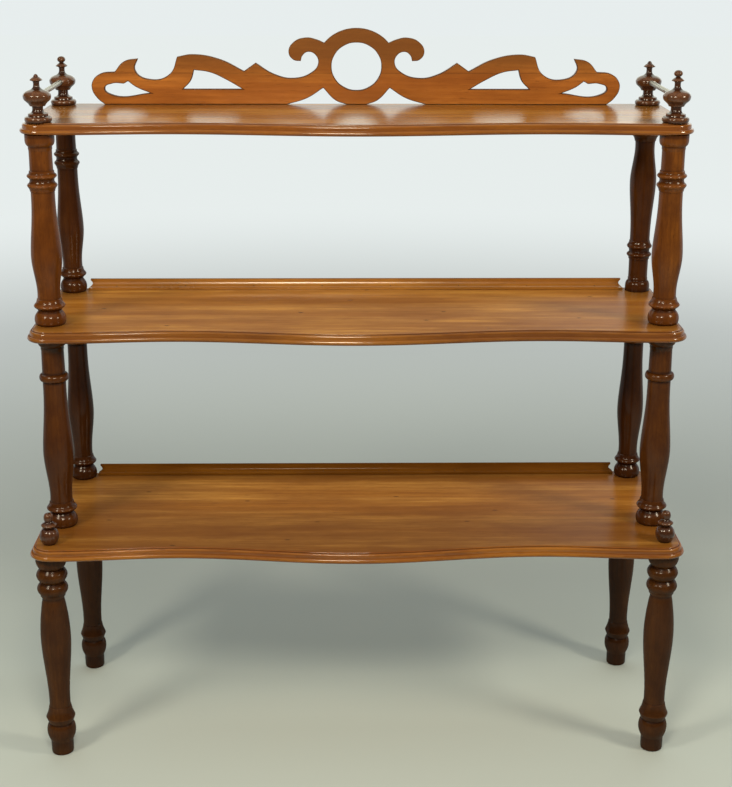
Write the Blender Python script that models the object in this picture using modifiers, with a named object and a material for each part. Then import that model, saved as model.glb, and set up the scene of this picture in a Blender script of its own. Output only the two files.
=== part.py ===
# A three tier buffet: serpentine shelves on turned columns, with a fretwork gallery on the top shelf.
# Metres, +Z up, front towards -Y. The origin is on the floor, in the middle of the footprint.
import math

import bmesh
import bpy

for item in list(bpy.data.objects):
    bpy.data.objects.remove(item, do_unlink=True)

# Plan: the columns stand on a rectangle, and the front legs stand ahead of it and a little further out
COLUMN_SPACING = 1.002
COLUMN_DEPTH = 0.230
LEG_LEAD = 0.085
LEG_OUTSET = 0.007

# Heights of the turned pieces between the boards
LEG_HEIGHT = 0.367
LOWER_COLUMN_HEIGHT = 0.333
UPPER_COLUMN_HEIGHT = 0.308

# Boards: the upper two reach past the column axes, and the bottom one past the front leg axes.
# A front overhang is taken at the middle of the front.
SHELF_THICKNESS = 0.018
BACK_OVERHANG = 0.018
TOP_SIDE_OVERHANG = 0.0325
TOP_FRONT_OVERHANG = 0.038
MIDDLE_SIDE_OVERHANG = 0.0335
MIDDLE_FRONT_OVERHANG = 0.078
BOTTOM_SIDE_OVERHANG = 0.032
BOTTOM_FRONT_OVERHANG = 0.0525

# Serpentine front: it swells in the middle and towards the ends, with a hollow at each side between them
HOLLOW_OFFSET = 0.300
MIDDLE_SWELL = 0.026
END_SWELL = 0.0125
CORNER_RADIUS = 0.036
WAVE_STEPS = 5
CORNER_STEPS = 4

# Moulded edge of a board: a small step, an ovolo out to the nose and a rounded underside
EDGE_SET_BACK = 0.0085
EDGE_STEP = 0.003
NOSE_DROP = 0.0115
UNDERSIDE_SET_BACK = 0.006
OVOLO_STEPS = 3
UNDERSIDE_STEPS = 2

# Joinery
FIT_GAP = 0.0003
END_GAP = 0.001
SPIGOT_RADIUS = 0.009
SMALL_SPIGOT_RADIUS = 0.007
SPIGOT_GRIP = 0.025
PEG_RADIUS = 0.003
PEG_GRIP = 0.009
SMALL_PEG_RADIUS = 0.0015
SMALL_PEG_GRIP = 0.005

# Facets
TURN_STEPS = 12
PEG_STEPS = 8
SHAFT_STEPS = 3
BEAD_STEPS = 4
ROUND_STEPS = 2
BULB_STEPS = 3
SMOOTH_ANGLE = math.radians(35)
MERGE_DISTANCE = 1e-5

# Shape of an eased curve: above one it starts late, below one it starts early
LATE_START = 1.3
EARLY_START = 0.7

# Columns from the top down: collar, neck, rings or a bead, swelling shaft, ankle, foot ring and ball.
# The rear columns have the same pattern, turned slimmer.
REAR_GIRTH = 0.89
COLLAR_RADIUS = 0.0240
COLLAR_STRAIGHT = 0.010
COLLAR_ROUND = 0.0095
COLLAR_FILLET_RADIUS = 0.0194
COLLAR_FILLET = 0.005
NECK_RADIUS = 0.0189
UPPER_NECK_LENGTH = 0.0345
RING_RADIUS = 0.0243
RING_FLARE = 0.007
RING_CORE_RADIUS = 0.0199
RING_UNDERCUT = 0.0045
RING_COVE = 0.0035
RING_TAIL = 0.0095
LOWER_NECK_LENGTH = 0.041
BEAD_RADIUS = 0.0246
BEAD_HEIGHT = 0.012
SHAFT_RADIUS = 0.0193
UPPER_BELLY_RADIUS = 0.0255
UPPER_BELLY_RISE = 0.060
LOWER_BELLY_RADIUS = 0.0260
LOWER_BELLY_RISE = 0.077
ANKLE_RADIUS = 0.0188
ANKLE_LENGTH = 0.009
FOOT_RING_FLARE = 0.012
FOOT_RING_RADIUS = 0.0258
FOOT_RING_UNDERCUT = 0.0075
CREASE_RADIUS = 0.0193
BALL_HEIGHT = 0.0235
BALL_RADIUS = 0.0261
BALL_WIDEST = 0.008
BALL_SEAT_RADIUS = 0.0230

# Legs from the top down: rounded cap, two beads, lip, swelling shaft, ankle, ring, bulb and a plain round foot
REAR_LEG_GIRTH = 0.96
LEG_CAP_RADIUS = 0.0255
LEG_CAP_STRAIGHT = 0.010
LEG_CAP_ROUND = 0.0144
LEG_CREASE_RADIUS = 0.0195
LEG_BEAD_RADIUS = 0.0255
LEG_BEAD_HEIGHT = 0.0246
LEG_LIP_RADIUS = 0.0206
LEG_LIP_HEIGHT = 0.0025
LEG_NECK_RADIUS = 0.0182
LEG_BELLY_RADIUS = 0.0251
LEG_BELLY_DROP = 0.072
LEG_ANKLE_RADIUS = 0.0176
LEG_ANKLE_LENGTH = 0.010
LEG_RING_FLARE = 0.0195
LEG_RING_RADIUS = 0.0243
LEG_RING_UNDERCUT = 0.0115
LEG_BULB_CREASE_RADIUS = 0.0202
LEG_BULB_ABOVE = 0.015
LEG_BULB_RADIUS = 0.0243
LEG_BULB_BELOW = 0.019
FOOT_HEIGHT = 0.023
FOOT_RADIUS = 0.0187
FOOT_ROUND = 0.0025

# Finials on the top board from the bottom up: torus, fillet, neck, bulb, tip neck, cap and a ball or a nub
FINIAL_SEAT_RADIUS = 0.0195
FINIAL_TORUS_RADIUS = 0.0215
FINIAL_TORUS_HEIGHT = 0.0095
FINIAL_FILLET_RADIUS = 0.0156
FINIAL_FILLET_HEIGHT = 0.0035
FINIAL_NECK_RADIUS = 0.0088
FINIAL_NECK_HEIGHT = 0.012
BULB_CUP_RADIUS = 0.0124
BULB_BELOW = 0.0147
BULB_RADIUS = 0.0219
BULB_ABOVE = 0.0108
TIP_NECK_RADIUS = 0.0050
TIP_NECK_HEIGHT = 0.012
CAP_UNDERCUT = 0.0027
CAP_RADIUS = 0.0099
CAP_RISE = 0.0053
CAP_TOP_RADIUS = 0.0035
TIP_BALL_RADIUS = 0.0068
TIP_BALL_HEIGHT = 0.0108
NUB_HEIGHT = 0.004

# Small finials on the front corners of the bottom board: ball, flared disc, neck and knob
CORNER_SEAT_RADIUS = 0.0106
CORNER_BALL_RADIUS = 0.0158
CORNER_BALL_HEIGHT = 0.027
CORNER_WAIST_RADIUS = 0.0073
CORNER_DISC_RADIUS = 0.0126
CORNER_DISC_FLARE = 0.0065
CORNER_NECK_RADIUS = 0.0063
CORNER_NECK_RISE = 0.005
CORNER_KNOB_RADIUS = 0.0077
CORNER_KNOB_HEIGHT = 0.016

# Side rails between the finials
RAIL_RADIUS = 0.0042
RAIL_SEAT = 0.010

# Upstands along the backs of the lower boards
UPSTAND_HEIGHT = 0.0178
UPSTAND_DEPTH = 0.014
UPSTAND_TOP = 0.0035
UPSTAND_FILLET = 0.003
UPSTAND_LIP = 0.0025
UPSTAND_END_GAP = 0.0015
UPSTAND_END_LIP = 0.003
UPSTAND_END_SCOOP = 0.005
UPSTAND_PEG_END = 0.115
COVE_STEPS = 4

# Gallery: a fretted board with an oval ring in the middle
GALLERY_THICKNESS = 0.011
GALLERY_SET_IN = 0.004
GALLERY_END_GAP = 0.0275
GALLERY_RING_CENTRE = 0.064
GALLERY_RING_WIDE = 0.070
GALLERY_RING_HIGH = 0.064
GALLERY_RING_SIDE_WALL = 0.0275
GALLERY_RING_TOP_WALL = 0.024
SCROLL_JOIN = 0.055
FRET_STEPS = 3
RING_ARC_STEPS = 6
RING_HOLE_STEPS = 8
GALLERY_PEG_PLACES = (0.160, 0.400)

# Left half of the gallery, from the middle of its foot to where the scroll meets the ring.
# C is a sharp corner, and S a point that the saw passes smoothly.
FRET_OUTLINE = (
    ("C", -0.017, 0.000), ("S", -0.036, 0.007), ("C", -0.057, 0.028), ("S", -0.084, 0.011),
    ("C", -0.119, 0.000), ("C", -0.431, 0.000), ("S", -0.4435, 0.0105), ("S", -0.452, 0.027),
    ("S", -0.4495, 0.0405), ("S", -0.437, 0.0515), ("C", -0.412, 0.055), ("S", -0.396, 0.072),
    ("C", -0.372, 0.077), ("S", -0.377, 0.057), ("S", -0.350, 0.042), ("S", -0.318, 0.052),
    ("C", -0.305, 0.080), ("S", -0.280, 0.084), ("S", -0.233, 0.076), ("C", -0.192, 0.056),
    ("C", -0.172, 0.070), ("S", -0.140, 0.051), ("S", -0.108, 0.0445), ("S", -0.077, 0.054),
    ("S", -0.066, 0.067), ("S", -0.068, 0.081), ("S", -0.082, 0.0885), ("S", -0.092, 0.082),
    ("C", -0.095, 0.073), ("S", -0.108, 0.0755), ("S", -0.1157, 0.089), ("S", -0.107, 0.1045),
    ("S", -0.086, 0.112), ("S", -0.068, 0.109),
)
FRET_EYE = (
    ("S", -0.430, 0.027), ("S", -0.417, 0.035), ("C", -0.397, 0.035), ("C", -0.390, 0.039),
    ("S", -0.376, 0.029), ("C", -0.352, 0.019), ("S", -0.420, 0.017),
)
FRET_WINDOW = (
    ("C", -0.296, 0.026), ("S", -0.283, 0.040), ("C", -0.277, 0.058), ("S", -0.250, 0.054),
    ("S", -0.221, 0.041), ("C", -0.195, 0.026),
)

# Colours of the wood and of the metal rails
BOARD_COLOUR = (0.26, 0.105, 0.035)
GALLERY_COLOUR = (0.30, 0.125, 0.040)
COLUMN_COLOUR = (0.13, 0.045, 0.018)
LEG_COLOUR = (0.075, 0.028, 0.013)
FINIAL_COLOUR = (0.085, 0.034, 0.017)
RAIL_COLOUR = (0.42, 0.38, 0.31)
PEG_COLOUR = (0.35, 0.22, 0.11)
POLISH_ROUGHNESS = 0.22
WOOD_METALLIC = 0.0
RAIL_METALLIC = 1.0

# Heights of the joints, from the floor up
BOTTOM_SHELF_Z = LEG_HEIGHT + FIT_GAP
LOWER_COLUMN_Z = BOTTOM_SHELF_Z + SHELF_THICKNESS + FIT_GAP
MIDDLE_SHELF_Z = LOWER_COLUMN_Z + LOWER_COLUMN_HEIGHT + FIT_GAP
UPPER_COLUMN_Z = MIDDLE_SHELF_Z + SHELF_THICKNESS + FIT_GAP
TOP_SHELF_Z = UPPER_COLUMN_Z + UPPER_COLUMN_HEIGHT + FIT_GAP
FINIAL_Z = TOP_SHELF_Z + SHELF_THICKNESS + FIT_GAP
BULB_Z = FINIAL_TORUS_HEIGHT + FINIAL_FILLET_HEIGHT + FINIAL_NECK_HEIGHT + BULB_BELOW

# Fits
HOLE_RADIUS = SPIGOT_RADIUS + FIT_GAP
SMALL_HOLE_RADIUS = SMALL_SPIGOT_RADIUS + FIT_GAP
SOCKET_DEPTH = SPIGOT_GRIP + END_GAP
SHELF_PASS = SHELF_THICKNESS + 2 * FIT_GAP
THROUGH_SPIGOT = SHELF_PASS + SPIGOT_GRIP

# Half length for which the fretwork is drawn
FRET_DRAWN_HALF = max(-x for kind, x, z in FRET_OUTLINE)

# Places on the floor plan, with the footprint centred on the origin
COLUMN_X = COLUMN_SPACING / 2
LEG_X = COLUMN_X + LEG_OUTSET
REAR_BALL_RADIUS = BALL_RADIUS * REAR_GIRTH
REAR_LEG_REACH = max(LEG_CAP_RADIUS, LEG_BEAD_RADIUS) * REAR_LEG_GIRTH
BACK_REACH = max(BACK_OVERHANG, REAR_BALL_RADIUS, REAR_LEG_REACH)
FRONT_REACH = COLUMN_DEPTH + LEG_LEAD + BOTTOM_FRONT_OVERHANG
REAR_Y = (FRONT_REACH - BACK_REACH) / 2
FRONT_Y = REAR_Y - COLUMN_DEPTH
LEG_Y = FRONT_Y - LEG_LEAD
BACK_Y = REAR_Y + BACK_OVERHANG
SIDES = (("left", -1), ("right", 1))
ROWS = (("front", FRONT_Y, 1.0), ("rear", REAR_Y, REAR_GIRTH))
UPSIDE_DOWN = "rear_right"
FINIALS_WITH_BALL = ("front_right", "rear_left")

PARTS = bpy.data.collections.new("buffet")
CUTTERS = bpy.data.collections.new("cutters")
for group in (PARTS, CUTTERS):
    bpy.context.scene.collection.children.link(group)
STAND = bpy.data.objects.new("stand", None)
PARTS.objects.link(STAND)


def polished(name, colour, metallic):
    material = bpy.data.materials.new(name)
    material.use_nodes = True
    shader = material.node_tree.nodes["Principled BSDF"]
    shader.inputs["Base Color"].default_value = (*colour, 1.0)
    shader.inputs["Roughness"].default_value = POLISH_ROUGHNESS
    shader.inputs["Metallic"].default_value = metallic
    return material


def add_part(name, mesh, colour, location, metallic=WOOD_METALLIC):
    mesh.materials.append(polished(name, colour, metallic))
    part = bpy.data.objects.new(name, mesh)
    part.location = location
    part.parent = STAND
    PARTS.objects.link(part)
    return part


# Turned work: a profile of (radius, height) points, outer side from the top down, spun round Z
def turn(name, profile, colour, location):
    mesh = bpy.data.meshes.new(name)
    edges = [(i, i + 1) for i in range(len(profile) - 1)]
    mesh.from_pydata([(radius, 0.0, height) for radius, height in profile], edges, [])
    part = add_part(name, mesh, colour, location)
    screw = part.modifiers.new("Turn", "SCREW")
    screw.axis = "Z"
    screw.steps = TURN_STEPS
    screw.render_steps = TURN_STEPS
    screw.use_merge_vertices = True
    screw.merge_threshold = MERGE_DISTANCE
    screw.use_smooth_shade = True
    return part


def ease(share):
    return share * share * (3 - 2 * share)


def ease_late(share):
    return ease(share ** LATE_START)


def ease_early(share):
    return ease(share ** EARLY_START)


def rise_fast(share):
    return math.sin(math.pi / 2 * share)


def round_off(share):
    return 1 - math.sqrt(1 - share * share)


# Points of a profile from one (radius, height) to another along a curve, without the first
def sweep(start, end, steps, curve):
    points = []
    for i in range(1, steps + 1):
        share = i / steps
        radius = start[0] + (end[0] - start[0]) * curve(share)
        points.append((radius, start[1] + (end[1] - start[1]) * share))
    return points


# Points of a round bead or ball from its top to its bottom, on a core of its own radius
def bead(radius, core, top, height, steps=BEAD_STEPS):
    points = []
    for i in range(steps + 1):
        angle = math.pi * i / steps
        points.append((core + (radius - core) * math.sin(angle), top - height * (1 - math.cos(angle)) / 2))
    return points


def socket(top, radius):
    return [(0.0, top - SOCKET_DEPTH), (radius, top - SOCKET_DEPTH), (radius, top)]


def socket_below():
    return [(HOLE_RADIUS, 0.0), (HOLE_RADIUS, SOCKET_DEPTH), (0.0, SOCKET_DEPTH)]


def spigot(radius, length):
    return [(radius, 0.0), (radius, -length), (0.0, -length)]


def slimmer(profile, girth):
    return [(radius * girth, height) for radius, height in profile]


def collar(top):
    straight_end = top - COLLAR_STRAIGHT
    round_end = straight_end - COLLAR_ROUND
    points = [(COLLAR_RADIUS, top), (COLLAR_RADIUS, straight_end)]
    points += sweep(points[-1], (COLLAR_FILLET_RADIUS, round_end), ROUND_STEPS, round_off)
    points.append((NECK_RADIUS, round_end - COLLAR_FILLET))
    return points


# Two rings with sharp rims: each flares out to its rim and falls back below it
def double_ring(top):
    upper_rim = top - RING_FLARE
    cove_top = upper_rim - RING_UNDERCUT
    cove_end = cove_top - RING_COVE
    lower_rim = cove_end - RING_FLARE
    return [
        (NECK_RADIUS, top),
        (RING_RADIUS, upper_rim),
        (RING_CORE_RADIUS, cove_top),
        (RING_CORE_RADIUS, cove_end),
        (RING_RADIUS, lower_rim),
        (SHAFT_RADIUS, lower_rim - RING_TAIL),
    ]


# The shaft swells to its belly, narrows to the ankle and ends in a foot ring and a ball
def shaft_and_foot(start, belly_radius, belly_rise):
    ring_height = BALL_HEIGHT + FOOT_RING_UNDERCUT
    flare_top = ring_height + FOOT_RING_FLARE
    ankle = (ANKLE_RADIUS, flare_top + ANKLE_LENGTH)
    belly = (belly_radius, ankle[1] + belly_rise)
    crease = (CREASE_RADIUS, BALL_HEIGHT)
    points = sweep(start, belly, SHAFT_STEPS, ease_late)
    points += sweep(belly, ankle, SHAFT_STEPS, ease)
    points += [(ANKLE_RADIUS, flare_top), (FOOT_RING_RADIUS, ring_height), crease]
    points += sweep(crease, (BALL_RADIUS, BALL_WIDEST), BULB_STEPS, ease_early)
    points.append((BALL_SEAT_RADIUS, 0.0))
    return points


def upper_column_outside():
    points = collar(UPPER_COLUMN_HEIGHT)
    points += double_ring(points[-1][1] - UPPER_NECK_LENGTH)
    return points + shaft_and_foot(points[-1], UPPER_BELLY_RADIUS, UPPER_BELLY_RISE)


def lower_column_outside():
    points = collar(LOWER_COLUMN_HEIGHT)
    points += bead(BEAD_RADIUS, SHAFT_RADIUS, points[-1][1] - LOWER_NECK_LENGTH, BEAD_HEIGHT)
    return points + shaft_and_foot(points[-1], LOWER_BELLY_RADIUS, LOWER_BELLY_RISE)


# One rear column stands upside down, with a socket at each end
def make_upper_columns():
    outside = upper_column_outside()
    top_socket = socket(UPPER_COLUMN_HEIGHT, HOLE_RADIUS)
    for row, y, girth in ROWS:
        shaped = slimmer(outside, girth)
        for side, sign in SIDES:
            x = sign * COLUMN_X
            name = f"column_upper_{row}_{side}"
            if f"{row}_{side}" == UPSIDE_DOWN:
                location = (x, y, UPPER_COLUMN_Z + UPPER_COLUMN_HEIGHT)
                column = turn(name, top_socket + shaped + socket_below(), COLUMN_COLOUR, location)
                column.rotation_euler.x = math.pi
            else:
                tail = spigot(SPIGOT_RADIUS, THROUGH_SPIGOT)
                turn(name, top_socket + shaped + tail, COLUMN_COLOUR, (x, y, UPPER_COLUMN_Z))


# Rear columns run through the bottom board into the rear legs.
# Front columns end in that board, behind the front legs.
def make_lower_columns():
    outside = lower_column_outside()
    top_socket = socket(LOWER_COLUMN_HEIGHT, HOLE_RADIUS)
    for row, y, girth in ROWS:
        reach = THROUGH_SPIGOT if row == "rear" else SHELF_THICKNESS
        profile = top_socket + slimmer(outside, girth) + spigot(SPIGOT_RADIUS, reach)
        for side, sign in SIDES:
            turn(f"column_lower_{row}_{side}", profile, COLUMN_COLOUR, (sign * COLUMN_X, y, LOWER_COLUMN_Z))


def leg_outside():
    straight_end = LEG_HEIGHT - LEG_CAP_STRAIGHT
    cap_end = straight_end - LEG_CAP_ROUND
    lower_bead_top = cap_end - LEG_BEAD_HEIGHT
    lip_top = lower_bead_top - LEG_BEAD_HEIGHT
    neck = (LEG_NECK_RADIUS, lip_top - LEG_LIP_HEIGHT)
    belly = (LEG_BELLY_RADIUS, neck[1] - LEG_BELLY_DROP)
    bulb = (LEG_BULB_RADIUS, FOOT_HEIGHT + LEG_BULB_BELOW)
    crease = (LEG_BULB_CREASE_RADIUS, bulb[1] + LEG_BULB_ABOVE)
    ring = (LEG_RING_RADIUS, crease[1] + LEG_RING_UNDERCUT)
    flare_top = ring[1] + LEG_RING_FLARE
    ankle = (LEG_ANKLE_RADIUS, flare_top + LEG_ANKLE_LENGTH)
    points = [(LEG_CAP_RADIUS, LEG_HEIGHT), (LEG_CAP_RADIUS, straight_end)]
    points += sweep(points[-1], (LEG_CREASE_RADIUS, cap_end), ROUND_STEPS, round_off)
    points += bead(LEG_BEAD_RADIUS, LEG_CREASE_RADIUS, cap_end, LEG_BEAD_HEIGHT)[1:]
    points += bead(LEG_BEAD_RADIUS, LEG_LIP_RADIUS, lower_bead_top, LEG_BEAD_HEIGHT)[1:]
    points.append(neck)
    points += sweep(neck, belly, SHAFT_STEPS, rise_fast)
    points += sweep(belly, ankle, SHAFT_STEPS, ease)
    points += [(LEG_ANKLE_RADIUS, flare_top), ring, crease]
    points += sweep(crease, bulb, ROUND_STEPS, rise_fast)
    points += sweep(bulb, (FOOT_RADIUS, FOOT_HEIGHT), ROUND_STEPS, ease_late)
    points += [(FOOT_RADIUS, FOOT_ROUND), (FOOT_RADIUS - FOOT_ROUND, 0.0), (0.0, 0.0)]
    return points


def make_legs():
    outside = leg_outside()
    front_profile = socket(LEG_HEIGHT, SMALL_HOLE_RADIUS) + outside
    rear_profile = socket(LEG_HEIGHT, HOLE_RADIUS) + slimmer(outside, REAR_LEG_GIRTH)
    for side, sign in SIDES:
        turn(f"leg_front_{side}", front_profile, LEG_COLOUR, (sign * LEG_X, LEG_Y, 0.0))
        turn(f"leg_rear_{side}", rear_profile, LEG_COLOUR, (sign * COLUMN_X, REAR_Y, 0.0))


# Top of a finial down to its cap: a ball, or a nub where the ball is lost
def finial_tip(cap_top, has_ball):
    seat = (CAP_TOP_RADIUS, cap_top)
    if has_ball:
        return bead(TIP_BALL_RADIUS, 0.0, cap_top + TIP_BALL_HEIGHT, TIP_BALL_HEIGHT)[:-1] + [seat]
    return [(0.0, cap_top + NUB_HEIGHT), seat]


def finial_profile(has_ball):
    fillet_top = FINIAL_TORUS_HEIGHT + FINIAL_FILLET_HEIGHT
    neck_top = fillet_top + FINIAL_NECK_HEIGHT
    bulb = (BULB_RADIUS, BULB_Z)
    bulb_top = (TIP_NECK_RADIUS, BULB_Z + BULB_ABOVE)
    cap_under = bulb_top[1] + TIP_NECK_HEIGHT
    cap_rim = cap_under + CAP_UNDERCUT
    points = finial_tip(cap_rim + CAP_RISE, has_ball)
    points += [(CAP_RADIUS, cap_rim), (TIP_NECK_RADIUS, cap_under)]
    points += reversed(sweep(bulb, bulb_top, BULB_STEPS, round_off))
    points.append(bulb)
    points += sweep(bulb, (BULB_CUP_RADIUS, neck_top), BULB_STEPS, ease_late)
    points += [
        (FINIAL_NECK_RADIUS, neck_top),
        (FINIAL_NECK_RADIUS, fillet_top),
        (FINIAL_FILLET_RADIUS, fillet_top),
        (FINIAL_FILLET_RADIUS, FINIAL_TORUS_HEIGHT),
        (FINIAL_TORUS_RADIUS, FINIAL_TORUS_HEIGHT / 2),
        (FINIAL_SEAT_RADIUS, 0.0),
    ]
    return points + spigot(SPIGOT_RADIUS, THROUGH_SPIGOT)


# A plain round bar standing on Z, centred on its own origin
def round_bar(name, radius, length, steps):
    mesh = bpy.data.meshes.new(name)
    work = bmesh.new()
    bmesh.ops.create_cone(work, cap_ends=True, segments=steps, radius1=radius, radius2=radius, depth=length)
    work.to_mesh(mesh)
    work.free()
    mesh.shade_smooth()
    mesh.set_sharp_from_angle(angle=SMOOTH_ANGLE)
    return mesh


# A hidden round cutter, upright or lying from front to back
def round_cutter(name, radius, length, centre, steps=TURN_STEPS, lying=False):
    cutter = bpy.data.objects.new(name, round_bar(name, radius, length, steps))
    cutter.location = centre
    cutter.rotation_euler.x = math.pi / 2 if lying else 0.0
    cutter.hide_render = True
    cutter.display_type = "WIRE"
    CUTTERS.objects.link(cutter)
    return cutter


def cut(part, cutter):
    boolean = part.modifiers.new(cutter.name, "BOOLEAN")
    boolean.operation = "DIFFERENCE"
    boolean.solver = "EXACT"
    boolean.object = cutter


# Each bulb has a socket for the rail, facing the other finial on its side
def make_finials():
    bore_radius = RAIL_RADIUS + FIT_GAP
    for row, y in (("front", FRONT_Y), ("rear", REAR_Y)):
        inward = 1 if row == "front" else -1
        for side, sign in SIDES:
            place = f"{row}_{side}"
            x = sign * COLUMN_X
            profile = finial_profile(place in FINIALS_WITH_BALL)
            finial = turn(f"finial_{place}", profile, FINIAL_COLOUR, (x, y, FINIAL_Z))
            centre = (x, y + inward * BULB_RADIUS, FINIAL_Z + BULB_Z)
            bore = round_cutter(f"rail_socket_{place}", bore_radius, 2 * RAIL_SEAT, centre, lying=True)
            cut(finial, bore)


def make_rails():
    length = COLUMN_DEPTH - 2 * (BULB_RADIUS - RAIL_SEAT + END_GAP)
    middle_y = (FRONT_Y + REAR_Y) / 2
    for side, sign in SIDES:
        name = f"rail_{side}"
        mesh = round_bar(name, RAIL_RADIUS, length, TURN_STEPS)
        place = (sign * COLUMN_X, middle_y, FINIAL_Z + BULB_Z)
        rail = add_part(name, mesh, RAIL_COLOUR, place, RAIL_METALLIC)
        rail.rotation_euler.x = math.pi / 2


# The column that stands upside down is held below by a loose dowel in place of a spigot
def make_loose_dowel():
    length = SHELF_PASS + 2 * SPIGOT_GRIP
    name = f"dowel_{UPSIDE_DOWN}"
    mesh = round_bar(name, SPIGOT_RADIUS, length, TURN_STEPS)
    add_part(name, mesh, PEG_COLOUR, (COLUMN_X, REAR_Y, MIDDLE_SHELF_Z + SHELF_THICKNESS / 2))


def corner_finial_profile():
    disc_rim = CORNER_BALL_HEIGHT + CORNER_DISC_FLARE
    neck_top = disc_rim + CORNER_NECK_RISE
    points = bead(CORNER_KNOB_RADIUS, 0.0, neck_top + CORNER_KNOB_HEIGHT, CORNER_KNOB_HEIGHT)[:-2]
    points += [
        (CORNER_NECK_RADIUS, neck_top),
        (CORNER_DISC_RADIUS, disc_rim),
        (CORNER_WAIST_RADIUS, CORNER_BALL_HEIGHT),
    ]
    points += bead(CORNER_BALL_RADIUS, CORNER_WAIST_RADIUS, CORNER_BALL_HEIGHT, CORNER_BALL_HEIGHT)[1:-1]
    points.append((CORNER_SEAT_RADIUS, 0.0))
    return points + spigot(SMALL_SPIGOT_RADIUS, THROUGH_SPIGOT)


def make_corner_finials():
    profile = corner_finial_profile()
    for side, sign in SIDES:
        turn(f"corner_finial_{side}", profile, FINIAL_COLOUR, (sign * LEG_X, LEG_Y, LOWER_COLUMN_Z))


# A board lofted through closed outlines of equal count, each (height, points), from the bottom up
def loft(name, sections, colour, location):
    work = bmesh.new()
    loops = []
    for height, outline in sections:
        loops.append([work.verts.new((x, y, height)) for x, y in outline])
    for lower, upper in zip(loops, loops[1:]):
        for i in range(len(lower)):
            j = (i + 1) % len(lower)
            work.faces.new((lower[i], lower[j], upper[j], upper[i]))
    work.faces.new(reversed(loops[0]))
    work.faces.new(loops[-1])
    mesh = bpy.data.meshes.new(name)
    work.to_mesh(mesh)
    work.free()
    mesh.shade_smooth()
    mesh.set_sharp_from_angle(angle=SMOOTH_ANGLE)
    return add_part(name, mesh, colour, location)


# How far the front line has fallen back at x, and its slope there, on a front that runs to half_run
def serpentine(x, half_run):
    if x < HOLLOW_OFFSET:
        turn_rate = math.pi / HOLLOW_OFFSET
        fall = MIDDLE_SWELL * (1 - math.cos(turn_rate * x)) / 2
        slope = MIDDLE_SWELL * turn_rate * math.sin(turn_rate * x) / 2
    else:
        turn_rate = math.pi / (half_run - HOLLOW_OFFSET)
        along = x - HOLLOW_OFFSET
        fall = MIDDLE_SWELL - END_SWELL * (1 - math.cos(turn_rate * along)) / 2
        slope = -END_SWELL * turn_rate * math.sin(turn_rate * along) / 2
    return fall, slope


# Right half of a board's outline, from the middle of the front to the back corner.
# Each point is (x, y, inward x, inward y).
def shelf_half(half_width, nose_y):
    half_run = half_width - CORNER_RADIUS
    stations = [HOLLOW_OFFSET * i / WAVE_STEPS for i in range(WAVE_STEPS)]
    stations += [HOLLOW_OFFSET + (half_run - HOLLOW_OFFSET) * i / WAVE_STEPS for i in range(WAVE_STEPS)]
    points = []
    for x in stations:
        fall, slope = serpentine(x, half_run)
        length = math.hypot(slope, 1.0)
        points.append((x, nose_y + fall, -slope / length, 1 / length))
    corner_y = nose_y + MIDDLE_SWELL - END_SWELL + CORNER_RADIUS
    for i in range(CORNER_STEPS + 1):
        angle = math.pi / 2 * i / CORNER_STEPS
        across = math.sin(angle)
        ahead = math.cos(angle)
        points.append((half_run + CORNER_RADIUS * across, corner_y - CORNER_RADIUS * ahead, -across, ahead))
    points.append((half_width, BACK_Y, -1.0, 0.0))
    return points


def whole_outline(half, inset):
    right = [(x + inset * inward_x, y + inset * inward_y) for x, y, inward_x, inward_y in half]
    left = [(-x, y) for x, y in reversed(right[1:])]
    return left + right


# Edge moulding as (inset, height), from the underside up
def edge_profile():
    nose_height = SHELF_THICKNESS - NOSE_DROP
    ovolo_height = NOSE_DROP - EDGE_STEP
    points = []
    for i in range(UNDERSIDE_STEPS):
        angle = math.pi / 2 * i / UNDERSIDE_STEPS
        points.append((UNDERSIDE_SET_BACK * (1 - math.sin(angle)), nose_height * (1 - math.cos(angle))))
    for i in range(OVOLO_STEPS + 1):
        angle = math.pi / 2 * i / OVOLO_STEPS
        points.append((EDGE_SET_BACK * (1 - math.cos(angle)), nose_height + ovolo_height * math.sin(angle)))
    points.append((EDGE_SET_BACK, SHELF_THICKNESS))
    return points


def make_shelf(name, half_width, nose_y, z):
    half = shelf_half(half_width, nose_y)
    sections = [(height, whole_outline(half, inset)) for inset, height in edge_profile()]
    return loft(name, sections, BOARD_COLOUR, (0.0, 0.0, z))


def bore_through(board, x, y, radius, label):
    centre = (x, y, board.location.z + SHELF_THICKNESS / 2)
    cut(board, round_cutter(f"{board.name}_{label}", radius, 2 * SHELF_THICKNESS, centre))


def bore_column_holes(board):
    for row, y in (("front", FRONT_Y), ("rear", REAR_Y)):
        for side, sign in SIDES:
            bore_through(board, sign * COLUMN_X, y, HOLE_RADIUS, f"hole_{row}_{side}")


# Pegs between a board and the strip that stands on it, each in one straight hole through both
def peg_together(label, board, strip, places, y, radius, grip):
    length = 2 * grip + FIT_GAP
    hole_radius = radius + FIT_GAP
    hole_length = length + 2 * END_GAP
    middle_z = strip.location.z - FIT_GAP / 2
    for number, x in enumerate(places, 1):
        centre = (x, y, middle_z)
        hole = round_cutter(f"{label}_hole_{number}", hole_radius, hole_length, centre, PEG_STEPS)
        cut(board, hole)
        cut(strip, hole)
        name = f"{label}_peg_{number}"
        add_part(name, round_bar(name, radius, length, PEG_STEPS), PEG_COLOUR, centre)


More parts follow.
